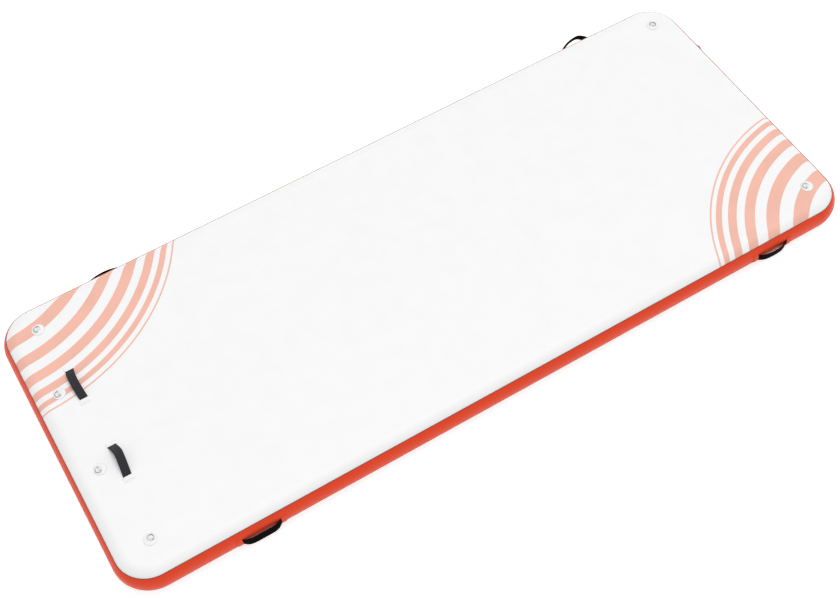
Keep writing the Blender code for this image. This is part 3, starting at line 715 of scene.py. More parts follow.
def webbing_strip(line: LaidLine, width: float, thickness: float, cells: tuple[int, int],
                  lay: Callable[[Vector, float], Vector], rounding: float = 0.0005
                  ) -> bmesh.types.BMesh:
    """A strip of webbing woven flat and then laid along a line.

    Args:
        line: The line that its outer face follows, which also gives its length.
        width: Its width.
        thickness: Its thickness, which lies behind the outer face.
        cells: Faces along and across.
        lay: Gives the place of a point of the line at a distance across the strip.
        rounding: Rounding of its edges.

    Returns:
        The closed strip, with its own UV map in metres along and across.
    """
    mesh = bmesh.new()
    bmesh.ops.create_grid(mesh, x_segments=cells[0], y_segments=cells[1], size=0.5)
    bmesh.ops.scale(mesh, vec=(line.length, width, 1), verts=mesh.verts)
    write_uv(mesh)
    for vert in mesh.verts:
        vert.co = lay(line.at(vert.co.x + line.length / 2), vert.co.y)
    mesh.normal_update()
    bmesh.ops.solidify(mesh, geom=mesh.faces[:], thickness=thickness)
    mesh.normal_update()
    round_edges(mesh, steep_edges(mesh), rounding)
    return mesh


# --------------------------------------------------------------------------------- the hull


@dataclass
class Hull:
    """The air chamber: two drop-stitch skins that roll over the edge and the band around them."""

    length: float = 3.66
    width: float = 1.52
    thickness: float = 0.152
    corner: float = 0.17
    skin: float = 0.0012
    roll: float = 0.076
    band_roll: float = 0.0775
    band_half_angle: float = 45.0
    tuck_angle: float = 56.25
    corner_segments: int = 24
    roll_segments: int = 16
    valve_place: tuple[float, float] = (0.40, 0.076)
    valve_hole: float = 0.0183
    finishes: dict[str, bpy.types.Material] = field(default_factory=dict)

    @property
    def mid(self) -> float:
        """Height of the middle of the side wall."""
        return self.thickness / 2

    def dress(self) -> None:
        """Make the finishes of the skins and the band."""
        near = ArcPrint((1.8809, -0.9794), ((0.372, 0.444), (0.507, 0.564), (0.615, 0.661),
                                            (0.699, 0.735), (0.765, 0.792), (0.8117, 0.8172)))
        far = ArcPrint((-1.7992, 1.1661), ((0.528, 0.593), (0.657, 0.714), (0.765, 0.816),
                                           (0.855, 0.894), (0.921, 0.948), (0.9692, 0.9780)))
        self.finishes["deck"] = CoatedFabric("calendered white drop-stitch PVC, printed arcs",
                                             "F7F7F7", "F5F5F5", 0.5, prints=(near, far)).make()
        self.finishes["base"] = CoatedFabric("calendered white drop-stitch PVC",
                                             "F3F3F3", "EDEDED", 0.55).make()
        # The band takes painted shade at its crown and low down, and dark glue lines with painted shadow
        # at its cut edges
        self.finishes["band"] = CoatedFabric("calendered orange-red PVC band", "FA5028", "F54C25",
                                             0.46, specular=0.28, seam_half_height=0.0548).make()

    def _slab(self, roll: float) -> bmesh.types.BMesh:
        """The hull as one closed form, with a round edge roll of the given radius.

        Args:
            roll: Radius of the roll. The band's roll is a little larger than the skins'.

        Returns:
            The closed mesh.
        """
        outset = roll - self.band_roll
        mesh = bmesh.new()
        bmesh.ops.create_cube(mesh, size=1)
        size = (self.length + 2 * outset, self.width + 2 * outset, 2 * roll)
        bmesh.ops.scale(mesh, vec=size, verts=mesh.verts)
        upright = [e for e in mesh.edges if abs(e.verts[0].co.z - e.verts[1].co.z) > roll]
        round_edges(mesh, upright, self.corner + outset, self.corner_segments)
        rims = [e for e in mesh.edges if abs(e.verts[0].co.z - e.verts[1].co.z) < roll]
        round_edges(mesh, rims, roll * 0.998, self.roll_segments)
        bmesh.ops.translate(mesh, vec=(0, 0, self.mid), verts=mesh.verts)
        return mesh

    def _keep(self, mesh: bmesh.types.BMesh, height: float, up: int) -> None:
        """Cut off what lies beyond a height.

        Args:
            mesh: The mesh to cut.
            height: Height of the cut.
            up: 1 to keep what is above, -1 to keep what is below.
        """
        geometry = mesh.verts[:] + mesh.edges[:] + mesh.faces[:]
        bmesh.ops.bisect_plane(mesh, geom=geometry, dist=1e-6, plane_co=(0, 0, height),
                               plane_no=(0, 0, up), clear_inner=True)

    def _skin(self, name: str, up: int, material: bpy.types.Material) -> bpy.types.Object:
        """A skin: the flat field and the rolled edge down to its lap under the band.

        Args:
            name: The piece's name.
            up: 1 for the deck, -1 for the base.
            material: Its finish.

        Returns:
            The piece.
        """
        mesh = self._slab(self.roll)
        self._keep(mesh, self.mid + up * self.roll * math.cos(math.radians(self.tuck_angle)), up)
        field_face = max(mesh.faces, key=lambda face: face.calc_area())
        # A narrow rim of flat faces keeps the field's shading flat right up to the roll
        bmesh.ops.inset_region(mesh, faces=[field_face], thickness=0.004)
        mesh.normal_update()
        bmesh.ops.solidify(mesh, geom=mesh.faces[:], thickness=self.skin)
        return make_piece(name, mesh, material)

    def _band(self) -> bpy.types.Object:
        """The side wall: the bulging band with the hole for the valve.

        Returns:
            The piece.
        """
        mesh = self._slab(self.band_roll)
        half = self.band_roll * math.cos(math.radians(self.band_half_angle))
        self._keep(mesh, self.mid - half, 1)
        self._keep(mesh, self.mid + half, -1)
        # Cuts beside the valve keep the hole out of the long faces of the end wall
        middle, reach = self.valve_place[0], self.valve_hole + 0.004
        cut_across(mesh, (middle - reach, middle + reach), Vector((0, 1, 0)))
        mesh.normal_update()
        bmesh.ops.solidify(mesh, geom=mesh.faces[:], thickness=self.skin)
        band = make_piece("side_band", mesh, self.finishes["band"])
        drill = bmesh.new()
        bmesh.ops.create_cone(drill, cap_ends=True, segments=64, radius1=self.valve_hole,
                              radius2=self.valve_hole, depth=0.06)
        bmesh.ops.rotate(drill, cent=(0, 0, 0), matrix=Matrix.Rotation(math.pi / 2, 3, "Y"),
                         verts=drill.verts)
        bmesh.ops.translate(drill, vec=(self.length / 2, *self.valve_place), verts=drill.verts)
        drill_piece = make_piece("valve_drill", drill, self.finishes["band"])
        cut = band.modifiers.new("valve hole", "BOOLEAN")
        cut.operation = "DIFFERENCE"
        cut.solver = "EXACT"
        cut.object = drill_piece
        graph = bpy.context.evaluated_depsgraph_get()
        bored = bpy.data.meshes.new_from_object(band.evaluated_get(graph))
        band.modifiers.clear()
        bored.set_sharp_from_angle(angle=math.radians(35.0))
        band.data = bored
        bpy.data.objects.remove(drill_piece, do_unlink=True)
        return band

    def build(self) -> None:
        """Build the skins and the band."""
        self.dress()
        deck = self._skin("deck_fabric", 1, self.finishes["deck"])
        mount_piece(deck, HULL, Slot.WHITE_SKIN, "deck_skin")
        base = self._skin("base_fabric", -1, self.finishes["base"])
        mount_piece(base, HULL, Slot.WHITE_SKIN, "base_skin")
        mount_piece(self._band(), HULL, Slot.ORANGE_SKIN, "side_wall")


@dataclass
class DropStitch:
    """The yarn rows between the skins, each one thread that runs to and fro."""

    rows: int = 7
    legs: int = 24
    stitch: float = 0.012
    thread: float = 0.001

    def build(self) -> None:
        """Build every row in the space of its CAD node."""
        material = TwistedYarn("plied polyester yarn", "E9E7E0", "CFCBBF").make()
        for row in range(1, self.rows + 1):
            node = f"yarn_row_{row}"
            low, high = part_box(node)
            y = (low.y + high.y) / 2
            # The first and the last leg end half a stitch out from the middle of their pitch
            pitch = (high.x - low.x - self.stitch) / (self.legs - 1)
            curve = bpy.data.curves.new(f"stitch_yarn_{row}", "CURVE")
            curve.dimensions = "3D"
            curve.bevel_depth = self.thread
            curve.bevel_resolution = 2
            curve.use_fill_caps = True
            curve.materials.append(material)
            spline = curve.splines.new("POLY")
            spline.points.add(2 * self.legs - 1)
            for leg in range(self.legs):
                z = high.z - self.thread if leg % 2 == 0 else low.z + self.thread
                centre = low.x + self.stitch / 2 + leg * pitch
                for end in (0, 1):
                    x = centre + (end - 0.5) * self.stitch
                    spline.points[2 * leg + end].co = (x, y, z, 1)
            piece = bpy.data.objects.new(f"stitch_yarn_{row}", curve)
            bpy.context.scene.collection.objects.link(piece)
            mount_piece(piece, HULL, Slot.YARN, node)


# ---------------------------------------------------------------------------- tie-down rings


@dataclass
class TieDowns:
    """Six tie-down rings: a round patch, a strap over the ring's bar and the D-ring itself."""

    deck_top: float = 0.152
    patch_radius: float = 0.029
    patch_thickness: float = 0.001
    wire: float = 0.002
    half_bar: float = 0.0145
    side: float = 0.006
    bend: float = 0.004
    strap_width: float = 0.022
    strap_thickness: float = 0.0015
    strap_play: float = 0.0006
    strap_foot: float = 0.004
    places: dict[str, tuple[float, float, float]] = field(default_factory=lambda: {
        "left_back": (-1.653, 0.602, 45.0), "left_front": (-1.643, -0.584, -45.0),
        "right_front": (1.693, -0.598, 45.0), "right_back": (1.688, 0.609, -45.0),
        "end_back": (-1.698, 0.247, 90.0), "end_front": (-1.692, -0.183, 90.0)})

    def _settle(self, mesh: bmesh.types.BMesh, where: str, height: float) -> None:
        """Turn a mesh and put it in its ring's place.

        Args:
            mesh: A mesh about the origin, with the ring's bow towards +Y.
            where: The ring's name.
            height: Where the mesh's Z 0 goes.
        """
        x, y, turn = self.places[where]
        pose = Matrix.Translation((x, y, height)) @ Matrix.Rotation(math.radians(turn), 4, "Z")
        bmesh.ops.transform(mesh, matrix=pose, verts=mesh.verts)

    def _patch(self) -> bmesh.types.BMesh:
        """The round patch, its underside at Z 0."""
        mesh = bmesh.new()
        bmesh.ops.create_cone(mesh, cap_ends=True, segments=72, radius1=self.patch_radius,
                              radius2=self.patch_radius, depth=self.patch_thickness)
        bmesh.ops.translate(mesh, vec=(0, 0, self.patch_thickness / 2), verts=mesh.verts)
        rim = [e for e in mesh.edges if all(v.co.z > self.patch_thickness * 0.9 for v in e.verts)]
        round_edges(mesh, rim, self.patch_thickness * 0.45)
        write_uv(mesh)
        return mesh

    def _strap(self) -> bmesh.types.BMesh:
        """The strap: two feet on the patch and a loop over the bar, which lies along X."""
        bar = self.wire + GAP
        loop = self.wire + self.strap_play + self.strap_thickness
        top = GAP + self.strap_thickness
        points = [(-loop - self.strap_foot, top), (-loop - 0.0008, top)]
        for step in range(13):
            angle = math.pi * (1 - step / 12)
            points.append((loop * math.cos(angle), bar + loop * math.sin(angle)))
        points += [(loop + 0.0008, top), (loop + self.strap_foot, top)]
        line = LaidLine(points)
        return webbing_strip(line, self.strap_width, self.strap_thickness, (36, 8),
                             lambda point, across: Vector((-across, point.x, point.y)), 0.0003)

    def _ring(self) -> bmesh.types.BMesh:
        """The D-ring: its bar along X, its bow towards +Y, its wire's middle at Z 0."""
        mesh = bmesh.new()
        start = Matrix.Translation((self.half_bar, self.side, 0)) @ \
            Matrix.Rotation(math.pi / 2, 4, "X")
        ring = bmesh.ops.create_circle(mesh, segments=14, radius=self.wire, matrix=start)
        section = ring["verts"] + list({e for v in ring["verts"] for e in v.link_edges})
        corner_x = self.half_bar - self.bend

        def bend(centre: tuple[float, float], angle: float, steps: int) -> None:
            """Carry the section round a bend."""
            nonlocal section
            done = bmesh.ops.spin(mesh, geom=section, cent=(*centre, 0), axis=(0, 0, 1),
                                  angle=angle, steps=steps)
            section = done["geom_last"]

        def draw(shift: tuple[float, float]) -> None:
            """Carry the section straight on."""
            nonlocal section
            done = bmesh.ops.extrude_edge_only(
                mesh, edges=[g for g in section if isinstance(g, bmesh.types.BMEdge)])
            section = done["geom"]
            verts = [g for g in section if isinstance(g, bmesh.types.BMVert)]
            bmesh.ops.translate(mesh, vec=(*shift, 0), verts=verts)
            edges = {e for v in verts for e in v.link_edges if all(w in verts for w in e.verts)}
            section = verts + list(edges)

        bend((0, self.side), math.pi, 32)
        draw((0, self.bend - self.side))
        bend((-corner_x, self.bend), math.pi / 2, 8)
        draw((2 * corner_x, 0))
        bend((corner_x, self.bend), math.pi / 2, 8)
        draw((0, self.side - self.bend))
        bmesh.ops.remove_doubles(mesh, verts=mesh.verts, dist=1e-5)
        bmesh.ops.recalc_face_normals(mesh, faces=mesh.faces)
        return mesh

    def build(self) -> None:
        """Build the six rings and what holds them."""
        # The patch's edge colour is painted shade along its rim, with the glue line
        patch_finish = GluedPatch("glued white PVC patch", "F4F4F4", "B4B2AE", 0.5,
                                  self.patch_radius, self.patch_radius, self.patch_radius).make()
        strap_finish = WovenWebbing("white ring webbing", "E2E2E0", "F4F4F2", 0.7,
                                    half_width=self.strap_width / 2, selvedge=0.002,
                                    rib_pitch=0.0022, rib_depth=0.0003).make()
        steel = DrawnSteel("tumbled stainless steel wire").make()
        patch_top = self.deck_top + GAP + self.patch_thickness
        for where in self.places:
            patch = self._patch()
            self._settle(patch, where, self.deck_top + GAP)
            mount_piece(make_piece(f"ring_patch_{where}", patch, patch_finish), HULL,
                        Slot.WHITE_PATCH, f"d_ring_patch_{where}")
            strap = self._strap()
            self._settle(strap, where, patch_top)
            mount_piece(make_piece(f"ring_webbing_{where}", strap, strap_finish), HULL,
                        Slot.RING_STRAP, f"d_ring_strap_{where}")
            ring = self._ring()
            self._settle(ring, where, patch_top + GAP + self.wire)
            mount_piece(make_piece(f"ring_wire_{where}", ring, steel), f"ring_{where}",
                        Slot.RING_STEEL, f"d_ring_{where}")


# ---------------------------------------------------------------------------------- handles


@dataclass
class HandleArch:
    """A webbing handle seen from its edge: a free arch, with a foot at each end under a patch.

    It is a parabola at fullness 2, pointed like a creased strap below it and flat-topped above it.
    """

    span: float
    rise: float
    peak: float = 0.0
    fullness: float = 2.0
    foot: float = 0.022
    points: int = 48

    def height(self, along: float) -> float:
        """Rise of the arch at a place along the handle, measured from its middle."""
        half = self.span / 2
        if abs(along) >= half:
            return 0.0
        reach = half - self.peak if along > self.peak else half + self.peak
        return self.rise * (1 - (abs(along - self.peak) / reach) ** self.fullness)

    def line(self) -> LaidLine:
        """The arch as a line, from the end of one foot to the end of the other."""
        half = self.span / 2
        places = [-half - self.foot, -half - self.foot / 2]
        places += [self.span * (i / self.points - 0.5) for i in range(self.points + 1)]
        places += [half + self.foot / 2, half + self.foot]
        return LaidLine([(along, self.height(along)) for along in places])


@dataclass
class FootPatch:
    """A patch glued over a foot of webbing: its fabric drapes over the foot and onto the hull.

    It is cut flat, with its mouth at X 0 and its rounded end towards +X.
    """

    width: float = 0.052
    length: float = 0.028
    corner: float = 0.008
    thickness: float = 0.001
    foot_length: float = 0.020
    foot_half_width: float = 0.019
    foot_height: float = 0.0028
    drape: float = 0.0028

    def lift(self, x: float, y: float) -> float:
        """How high the patch lies at a place: on the foot, on the hull or on the way down."""
        beyond = math.hypot(max(0.0, x - self.foot_length),
                            max(0.0, abs(y) - self.foot_half_width))
        share = min(1.0, beyond / self.drape)
        return (self.foot_height + GAP) * (1 - share * share * (3 - 2 * share))

    def cut(self) -> bmesh.types.BMesh:
        """Cut the patch and drape it over its foot.

        Returns:
            The patch's closed mesh, its lower face at Z 0 on the hull, with a UV map in metres.
        """
        mesh = bmesh.new()
        bmesh.ops.create_grid(mesh, x_segments=24, y_segments=40, size=0.5)
        bmesh.ops.scale(mesh, vec=(self.length, self.width, 1), verts=mesh.verts)
        bmesh.ops.translate(mesh, vec=(self.length / 2, 0, 0), verts=mesh.verts)
        half, inner = self.width / 2, self.width / 2 - self.corner
        for vert in mesh.verts:
            over_x, over_y = vert.co.x - (self.length - self.corner), abs(vert.co.y) - inner
            if over_x > 0 and over_y > 0:
                reach = math.hypot(over_x, over_y)
                shrink = max(over_x, over_y) / reach
                vert.co.x = self.length - self.corner + over_x * shrink
                vert.co.y = math.copysign(inner + over_y * shrink, vert.co.y)
        layer = mesh.loops.layers.uv.verify()
        for face in mesh.faces:
            for loop in face.loops:
                loop[layer].uv = (loop.vert.co.x - self.length / 2, loop.vert.co.y)
        for vert in mesh.verts:
            vert.co.z = self.thickness + self.lift(vert.co.x, vert.co.y)
        mesh.normal_update()
        bmesh.ops.solidify(mesh, geom=mesh.faces[:], thickness=self.thickness)
        mesh.normal_update()
        round_edges(mesh, steep_edges(mesh), self.thickness * 0.3)
        return mesh


@dataclass
class DeckHandles:
    """Two webbing handles that arch up from the deck at the handle end.

    A place is X, Y, the rise of the arch, how far its peak is off its middle, how far the peak
    leans to +X and the arch's fullness.
    """

    deck_top: float = 0.152
    span: float = 0.162
    bare_foot: float = 0.002
    width: float = 0.038
    thickness: float = 0.0025
    places: dict[str, tuple[float, ...]] = field(default_factory=lambda: {
        "back": (-1.615, 0.248, 0.026, 0.010, -0.005, 2.0),
        "front": (-1.605, -0.192, 0.045, 0.013, 0.011, 1.35)})

    def build(self, webbing: bpy.types.Material) -> None:
        """Build both handles with their patches.

        Args:
            webbing: Finish of the webbing.
        """
        shape = FootPatch()
        # The patch's edge colour is painted shade along its rim, with the glue line
        glued = GluedPatch("glued white PVC handle patch", "F4F4F4", "EAE9E6", 0.5,
                           shape.length / 2, shape.width / 2, shape.corner, 0.0016).make()
        foot_top = self.deck_top + GAP + self.thickness
        for where, (x, y, rise, peak, lean, fullness) in self.places.items():
            arch = HandleArch(self.span, rise, peak, fullness)

            def lay(point: Vector, across: float) -> Vector:
                """Place of a point of the webbing: its length runs along Y."""
                shift = lean * arch.height(point.x) / arch.rise
                return Vector((x - across + shift, y + point.x, foot_top + point.y))

            strip = webbing_strip(arch.line(), self.width, self.thickness, (76, 8), lay)
            mount_piece(make_piece(f"handle_webbing_{where}", strip, webbing), HULL, Slot.WEBBING,
                        f"deck_handle_{where}")
            for number, end in ((1, 1), (2, -1)):
                patch = shape.cut()
                mouth = y + end * (self.span / 2 + self.bare_foot)
                pose = Matrix.Translation((x, mouth, self.deck_top + GAP)) @ \
                    Matrix.Rotation(end * math.pi / 2, 4, "Z")
                bmesh.ops.transform(patch, matrix=pose, verts=patch.verts)
                mount_piece(make_piece(f"handle_patch_{where}_{number}", patch, glued), HULL,
                            Slot.WHITE_PATCH, f"deck_handle_patch_{where}_{number}")


@dataclass
class SideHandles:
    """Four webbing handles that arch out from the side wall, two on each long side.

    A place is X, the side, the arch's span and rise, its peak's way off to +X, its fullness and
    how far its upper edge tilts towards the wall, in degrees.
    """

    mid: float = 0.076
    roll: float = 0.0775
    core_half_width: float = 0.6825
    bare_foot: float = 0.002
    width: float = 0.038
    thickness: float = 0.0025
    places: dict[str, tuple[float, ...]] = field(default_factory=lambda: {
        "front_left": (-1.231, -1, 0.176, 0.015, 0.0, 5.0, 12.0),
        "front_right": (1.380, -1, 0.155, 0.017, 0.0, 3.0, 0.0),
        "back_left": (-1.276, 1, 0.170, 0.015, 0.0, 2.0, 0.0),
        "back_right": (1.327, 1, 0.165, 0.046, 0.035, 2.0, 18.0)})

    def _settle(self, mesh: bmesh.types.BMesh, where: str) -> None:
        """Put a mesh that faces -Y in its handle's place.

        Args:
            mesh: A mesh about the middle of the roll.
            where: The handle's name.
        """
        x, side = self.places[where][:2]
        pose = Matrix.Translation((x, side * self.core_half_width, self.mid))
        if side > 0:
            pose = pose @ Matrix.Rotation(math.pi, 4, "Z")
        bmesh.ops.transform(mesh, matrix=pose, verts=mesh.verts)

    def _reach(self, height: float, offset: float) -> float:
        """How far a surface outside the wall reaches at a height above the middle."""
        return math.sqrt((self.roll + offset) ** 2 - height ** 2)

    def _lay(self, point: Vector, height: float, top: float, tilt: float) -> Vector:
        """Lay a point of the webbing's outer face: its feet take the wall's bend.

        Args:
            point: Place along the handle and rise of the arch there.
            height: Height above the middle of the wall.
            top: Rise of the arch at its peak.
            tilt: Tilt of the free arch towards the wall, in degrees.

        Returns:
            The point's place on a handle that faces -Y.
        """
        base = GAP + self.thickness
        flat = point.y / top
        tilted = self._reach(0, base) - math.tan(math.radians(tilt)) * height
        reach = self._reach(height, base) * (1 - flat) + tilted * flat
        return Vector((point.x, -(reach + point.y), height))

    def build(self, webbing: bpy.types.Material) -> None:
        """Build the four handles with their patches.

        Args:
            webbing: Finish of the webbing.
        """
        inner = self.roll + GAP
        shape = FootPatch()
        # The patch's edge colour is painted shade along its rim, with the glue line
        glued = GluedPatch("glued orange-red PVC patch", "F04A23", "C03C20", 0.46,
                           shape.length / 2, shape.width / 2, shape.corner, 0.0016,
                           specular=0.28).make()
        for where, (_, side, span, rise, peak, fullness, tilt) in self.places.items():
            arch = HandleArch(span, rise, -side * peak, fullness)
            strip = webbing_strip(arch.line(), self.width, self.thickness, (76, 10),
                                  lambda point, across: self._lay(point, across, rise, tilt))
            self._settle(strip, where)
            mount_piece(make_piece(f"side_webbing_{where}", strip, webbing), HULL, Slot.WEBBING,
                        f"side_handle_{where}")
            for number, end in ((1, -1), (2, 1)):
                patch = shape.cut()
                if end < 0:
                    bmesh.ops.rotate(patch, cent=(0, 0, 0), verts=patch.verts,
                                     matrix=Matrix.Rotation(math.pi, 3, "Z"))
                bmesh.ops.translate(patch, vec=(end * (span / 2 + self.bare_foot), 0, 0),
                                    verts=patch.verts)
                for vert in patch.verts:
                    angle, radius = vert.co.y / inner, inner + vert.co.z
                    vert.co = Vector((vert.co.x, -radius * math.cos(angle),
                                      radius * math.sin(angle)))
                self._settle(patch, where)
                mount_piece(make_piece(f"side_patch_{where}_{number}", patch, glued), HULL,
                            Slot.ORANGE_SKIN, f"side_handle_patch_{where}_{number}")


# ------------------------------------------------------------------------------------ valve


@dataclass
class AirValve:
    """The push-stem valve in the end wall: moulded body and cap, rubber seals, steel spring."""

    x: float = 1.83
    y: float = 0.40
    z: float = 0.076
    roll: float = 0.0775
    patch_radius: float = 0.042
    patch_thickness: float = 0.001
    bore: float = 0.0183
    spring_wire: float = 0.0004
    spring_turns: int = 5
    stem_travel: float = 0.005

    def _settle(self, mesh: bmesh.types.BMesh) -> None:
        """Move a mesh turned about the X axis to the valve's place."""
        bmesh.ops.translate(mesh, vec=(self.x, self.y, self.z), verts=mesh.verts)

    def _patch(self) -> bmesh.types.BMesh:
        """The fabric ring around the valve, bent as the wall is."""
        mesh = bmesh.new()
        rings = 8
        radii = [self.bore + (self.patch_radius - self.bore) * i / rings for i in range(rings + 1)]
        row = [mesh.verts.new((0, 0, radius)) for radius in radii]
        edges = [mesh.edges.new(pair) for pair in zip(row, row[1:])]
        bmesh.ops.spin(mesh, geom=row + edges, cent=(0, 0, 0), axis=(1, 0, 0),
                       angle=2 * math.pi, steps=72, use_merge=True)
        bmesh.ops.remove_doubles(mesh, verts=mesh.verts, dist=1e-6)
        layer = mesh.loops.layers.uv.verify()
        for face in mesh.faces:
            for corner in face.loops:
                corner[layer].uv = corner.vert.co.yz
        outer = self.roll + GAP + self.patch_thickness
        for vert in mesh.verts:
            vert.co.x = math.sqrt(outer ** 2 - vert.co.z ** 2) - self.roll
        mesh.normal_update()
        mesh.faces.ensure_lookup_table()
        if mesh.faces[0].normal.x < 0:
            bmesh.ops.reverse_faces(mesh, faces=mesh.faces)
            mesh.normal_update()
        bmesh.ops.solidify(mesh, geom=mesh.faces[:], thickness=self.patch_thickness)
        return mesh

    def _gasket(self) -> bmesh.types.BMesh:
        """The cap's gasket, a moulded ring with rounded edges."""
        low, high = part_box("valve_cap_gasket")
        front, back = high.x - self.x, low.x - self.x
        outer = (high.z - low.z) / 2
        inner = outer - 0.0011
        middle_x, middle_r = (front + back) / 2, (outer + inner) / 2
        half_x, half_r = (front - back) / 2, (outer - inner) / 2
        profile = []
        for step in range(12):
            angle = 2 * math.pi * step / 12
            across, along = math.cos(angle), math.sin(angle)
            profile.append((middle_x + half_x * math.copysign(abs(across) ** 0.6, across),
                            middle_r + half_r * math.copysign(abs(along) ** 0.6, along)))
        return spun(profile)

    def _diaphragm(self) -> bmesh.types.BMesh:
        """The rubber disc that seals on the neck's end, a little thinner at its rim."""
        low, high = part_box("valve_diaphragm")
        front, back = high.x - self.x, low.x - self.x
        outer, inner = (high.z - low.z) / 2, 0.0025
        slim = (front - back) * 0.3
        profile = [(front, inner), (front, outer - 0.0006), (front - 0.0003, outer),
                   (back + slim, outer), (back, outer * 0.7), (back, inner)]
        return spun(profile)

    def _spring(self) -> bmesh.types.BMesh:
        """The spring under the stem's button, wound at an even pitch."""
        low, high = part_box("valve_spring")
        coil = (high.z - low.z) / 2 - self.spring_wire
        front, back = high.x - self.spring_wire - self.x, low.x + self.spring_wire - self.x
        steps = self.spring_turns * 24
        mesh = bmesh.new()
        start = Matrix.Translation((front, 0, coil)) @ Matrix.Rotation(math.pi / 2, 4, "X")
        wire = bmesh.ops.create_circle(mesh, segments=12, radius=self.spring_wire, matrix=start)
        bmesh.ops.spin(mesh, geom=wire["verts"] + mesh.edges[:], cent=(0, 0, 0), axis=(1, 0, 0),
                       dvec=((back - front) / steps, 0, 0), angle=2 * math.pi * self.spring_turns,
                       steps=steps)
        bmesh.ops.holes_fill(mesh, edges=mesh.edges[:], sides=0)
        bmesh.ops.recalc_face_normals(mesh, faces=mesh.faces)
        return mesh

    def _tether(self) -> bmesh.types.BMesh:
        """The tether: a ring under the cap, a strip and the button that holds it to the body."""
        low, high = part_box("valve_cap_tether")
        front, back = high.x - self.x, high.x - self.x - 0.001
        inner, outer = 0.0155, 0.0195
        mesh = spun([(front, inner), (front, outer - 0.0002), (front - 0.0002, outer),
                     (back, outer), (back, inner)])
        strip = bmesh.new()
        bmesh.ops.create_cube(strip, size=1)
        bmesh.ops.scale(strip, vec=(0.0005, 0.005, 0.0085), verts=strip.verts)
        round_edges(strip, strip.edges[:], 0.0002)
        bmesh.ops.translate(strip, vec=((front + back) / 2, 0, -0.0217), verts=strip.verts)
        button = bmesh.new()
        depth = front - (low.x - self.x)
        bmesh.ops.create_cone(button, cap_ends=True, segments=40, radius1=0.0036, radius2=0.0036,
                              depth=depth)
        round_edges(button, steep_edges(button), 0.0003)
        bmesh.ops.rotate(button, cent=(0, 0, 0), matrix=Matrix.Rotation(math.pi / 2, 3, "Y"),
                         verts=button.verts)
        bmesh.ops.translate(button, vec=(front - depth / 2, 0, -0.0219), verts=button.verts)
        for part in (strip, button):
            data = bpy.data.meshes.new("tether part")
            part.to_mesh(data)
            part.free()
            mesh.from_mesh(data)
            bpy.data.meshes.remove(data)
        return mesh

    def build(self) -> None:
        """Build the soft pieces and finish the moulded ones."""
        # It takes the band's painted shade by height, at its crown and low down, and has none of the
        # band's dark glued edges
        band = CoatedFabric("calendered orange-red PVC valve patch", "FA5028", "F44C25",
                            0.46, specular=0.28, seam_half_height=1.0).make()
        rubber = MouldedPlastic("moulded grey rubber", "38383A", "454548", 0.62, 0.002).make()
        nylon = MouldedPlastic("moulded black nylon", "232225", "2F2E32").make()
        steel = DrawnSteel("drawn stainless spring wire", roughness=0.25).make()
        soft = (("valve_ring_patch", self._patch, band, HULL, Slot.ORANGE_SKIN, "valve_patch"),
                ("cap_gasket", self._gasket, rubber, "valve_cap", Slot.VALVE_RUBBER,
                 "valve_cap_gasket"),
                ("stem_diaphragm", self._diaphragm, rubber, "valve_stem", Slot.VALVE_RUBBER,
                 "valve_diaphragm"),
                ("cap_tether", self._tether, rubber, HULL, Slot.VALVE_RUBBER, "valve_cap_tether"))
        for name, make, finish, body, slot, node in soft:
            mesh = make()
            self._settle(mesh)
            mount_piece(make_piece(name, mesh, finish), body, slot, node)
        for node in ("valve_body", "valve_nut", "valve_stem", "valve_cap"):
            dress_node(node, nylon)
        spring = self._spring()
        self._settle(spring)
        piece = mount_piece(make_piece("stem_spring", spring, steel), HULL, Slot.VALVE_STEEL,
                            "valve_spring")
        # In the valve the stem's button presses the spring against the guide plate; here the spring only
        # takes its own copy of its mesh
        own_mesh(piece)


def dress_node(node: str, material: bpy.types.Material) -> None:
    """Give a CAD node that stays in view its finish.

    Args:
        node: The node's name.
        material: Its finish.
    """
    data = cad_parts[node].data
    data.materials.clear()
    data.materials.append(material)
    LOG.info("%s stays and is dressed", node)


# ----------------------------------------------------------------------------------- studio


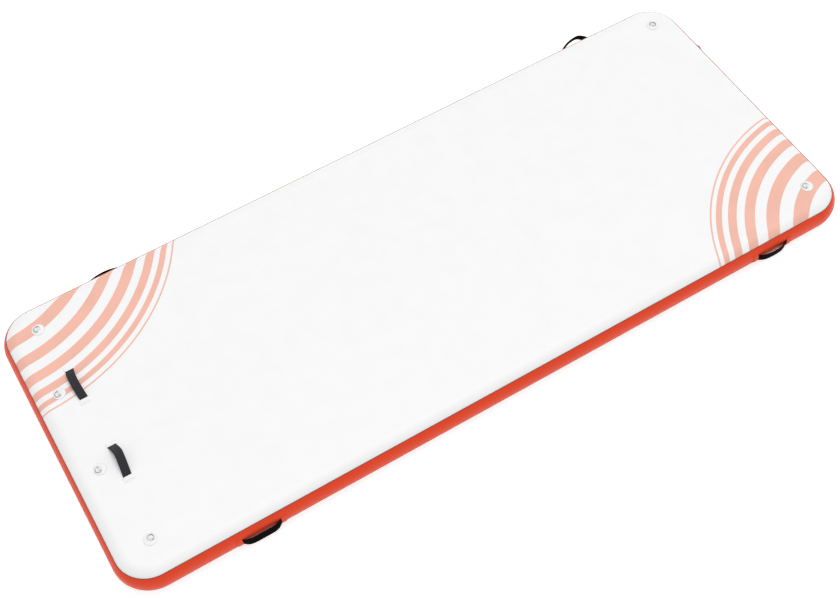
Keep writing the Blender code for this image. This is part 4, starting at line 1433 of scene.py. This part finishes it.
@dataclass
class Studio:
    """A pale floor, soft light from above on the right, and the camera."""

    camera_place: tuple[float, float, float] = (-1.6289, -3.2774, 5.4622)
    camera_turn: tuple[float, float, float] = (32.873, 3.0422, -30.4909)
    lens: float = 60.968
    sky: float = 0.50
    sun_power: float = 1.58
    sun_width: float = 38.0
    sun_from: tuple[float, float, float] = (0.22, 0.08, 1.0)
    floor_lift: float = 0.62

    def _camera(self) -> None:
        """Set up the camera at the photograph's viewing angle."""
        data = bpy.data.cameras.new("camera")
        data.lens = self.lens
        data.sensor_width = 36.0
        data.sensor_fit = "HORIZONTAL"
        camera = bpy.data.objects.new("camera", data)
        camera.location = self.camera_place
        camera.rotation_euler = [math.radians(angle) for angle in self.camera_turn]
        bpy.context.scene.collection.objects.link(camera)
        bpy.context.scene.camera = camera

    def _floor(self) -> None:
        """Lay the floor, which shows white to the camera and keeps the platform's shadow."""
        mesh = bmesh.new()
        bmesh.ops.create_grid(mesh, x_segments=2, y_segments=2, size=40.0)
        bmesh.ops.translate(mesh, vec=(0, 0, -0.0006), verts=mesh.verts)
        material, tree, shader = start_material("matt white studio floor")
        # Matt paint on board: even white with a trace of roller texture
        coords = add_node(tree, "TexCoord")
        roller = add_node(tree, "TexNoise", {"Vector": coords.outputs["Object"], "Scale": 12.0})
        tone = add_node(tree, "ValToRGB", {0: roller.outputs["Fac"]})
        set_stops(tone, [(0.3, linear("F2F2F2")), (0.7, linear("F5F5F5"))])
        tree.links.new(tone.outputs["Color"], shader.inputs["Base Color"])
        shader.inputs["Roughness"].default_value = 0.95
        shader.inputs["Specular IOR Level"].default_value = 0.0
        path = add_node(tree, "LightPath")
        seen = path.outputs["Is Camera Ray"]
        for ray in ("Is Glossy Ray", "Is Transmission Ray"):
            seen = add_node(tree, "Math", {0: seen, 1: path.outputs[ray]},
                            operation="MAXIMUM").outputs["Value"]
        lift = add_node(tree, "Math", {0: seen, 1: self.floor_lift}, operation="MULTIPLY")
        shader.inputs["Emission Color"].default_value = (1.0, 1.0, 1.0, 1.0)
        tree.links.new(lift.outputs["Value"], shader.inputs["Emission Strength"])
        floor = make_piece("studio_floor", mesh, material)

    def _light(self) -> None:
        """Light the platform: an even near-white surround and one wide, even lamp far away."""
        world = bpy.data.worlds.new("surround")
        bpy.context.scene.world = world
        world.use_nodes = True
        tree = world.node_tree
        shader = tree.nodes["Background"]
        shader.inputs["Color"].default_value = (1.0, 1.0, 1.0, 1.0)
        path = add_node(tree, "LightPath")
        seen = path.outputs["Is Camera Ray"]
        for ray in ("Is Glossy Ray", "Is Transmission Ray"):
            seen = add_node(tree, "Math", {0: seen, 1: path.outputs[ray]},
                            operation="MAXIMUM").outputs["Value"]
        level = add_node(tree, "MapRange", {"Value": seen, "To Min": self.sky, "To Max": 1.0})
        tree.links.new(level.outputs["Result"], shader.inputs["Strength"])
        data = bpy.data.lights.new("key lamp", "SUN")
        data.energy = self.sun_power
        data.angle = math.radians(self.sun_width)
        lamp = bpy.data.objects.new("key_lamp", data)
        lamp.location = Vector(self.sun_from) * 4
        lamp.rotation_euler = (-Vector(self.sun_from)).to_track_quat("-Z", "Y").to_euler()
        bpy.context.scene.collection.objects.link(lamp)

    def build(self) -> None:
        """Set up camera, floor and light."""
        bpy.context.scene.view_settings.view_transform = "Standard"
        self._camera()
        self._floor()
        self._light()


def main() -> None:
    """Build the platform piece by piece around its CAD model, then the studio around it."""
    logging.basicConfig(level=logging.INFO, format="%(message)s")
    Studio().build()
    Hull().build()
    DropStitch().build()
    TieDowns().build()
    DeckHandles().build(WovenWebbing("black twill webbing", "030304", "47474B").make())
    # The side handles take a darker copy of the same webbing as painted shade, with no sheen and little
    # specular
    SideHandles().build(WovenWebbing("black twill webbing, painted shade", "020203", "151517", 0.8,
                                     sheen=0.0, specular=0.03).make())
    AirValve().build()


if __name__ == "__main__":
    main()
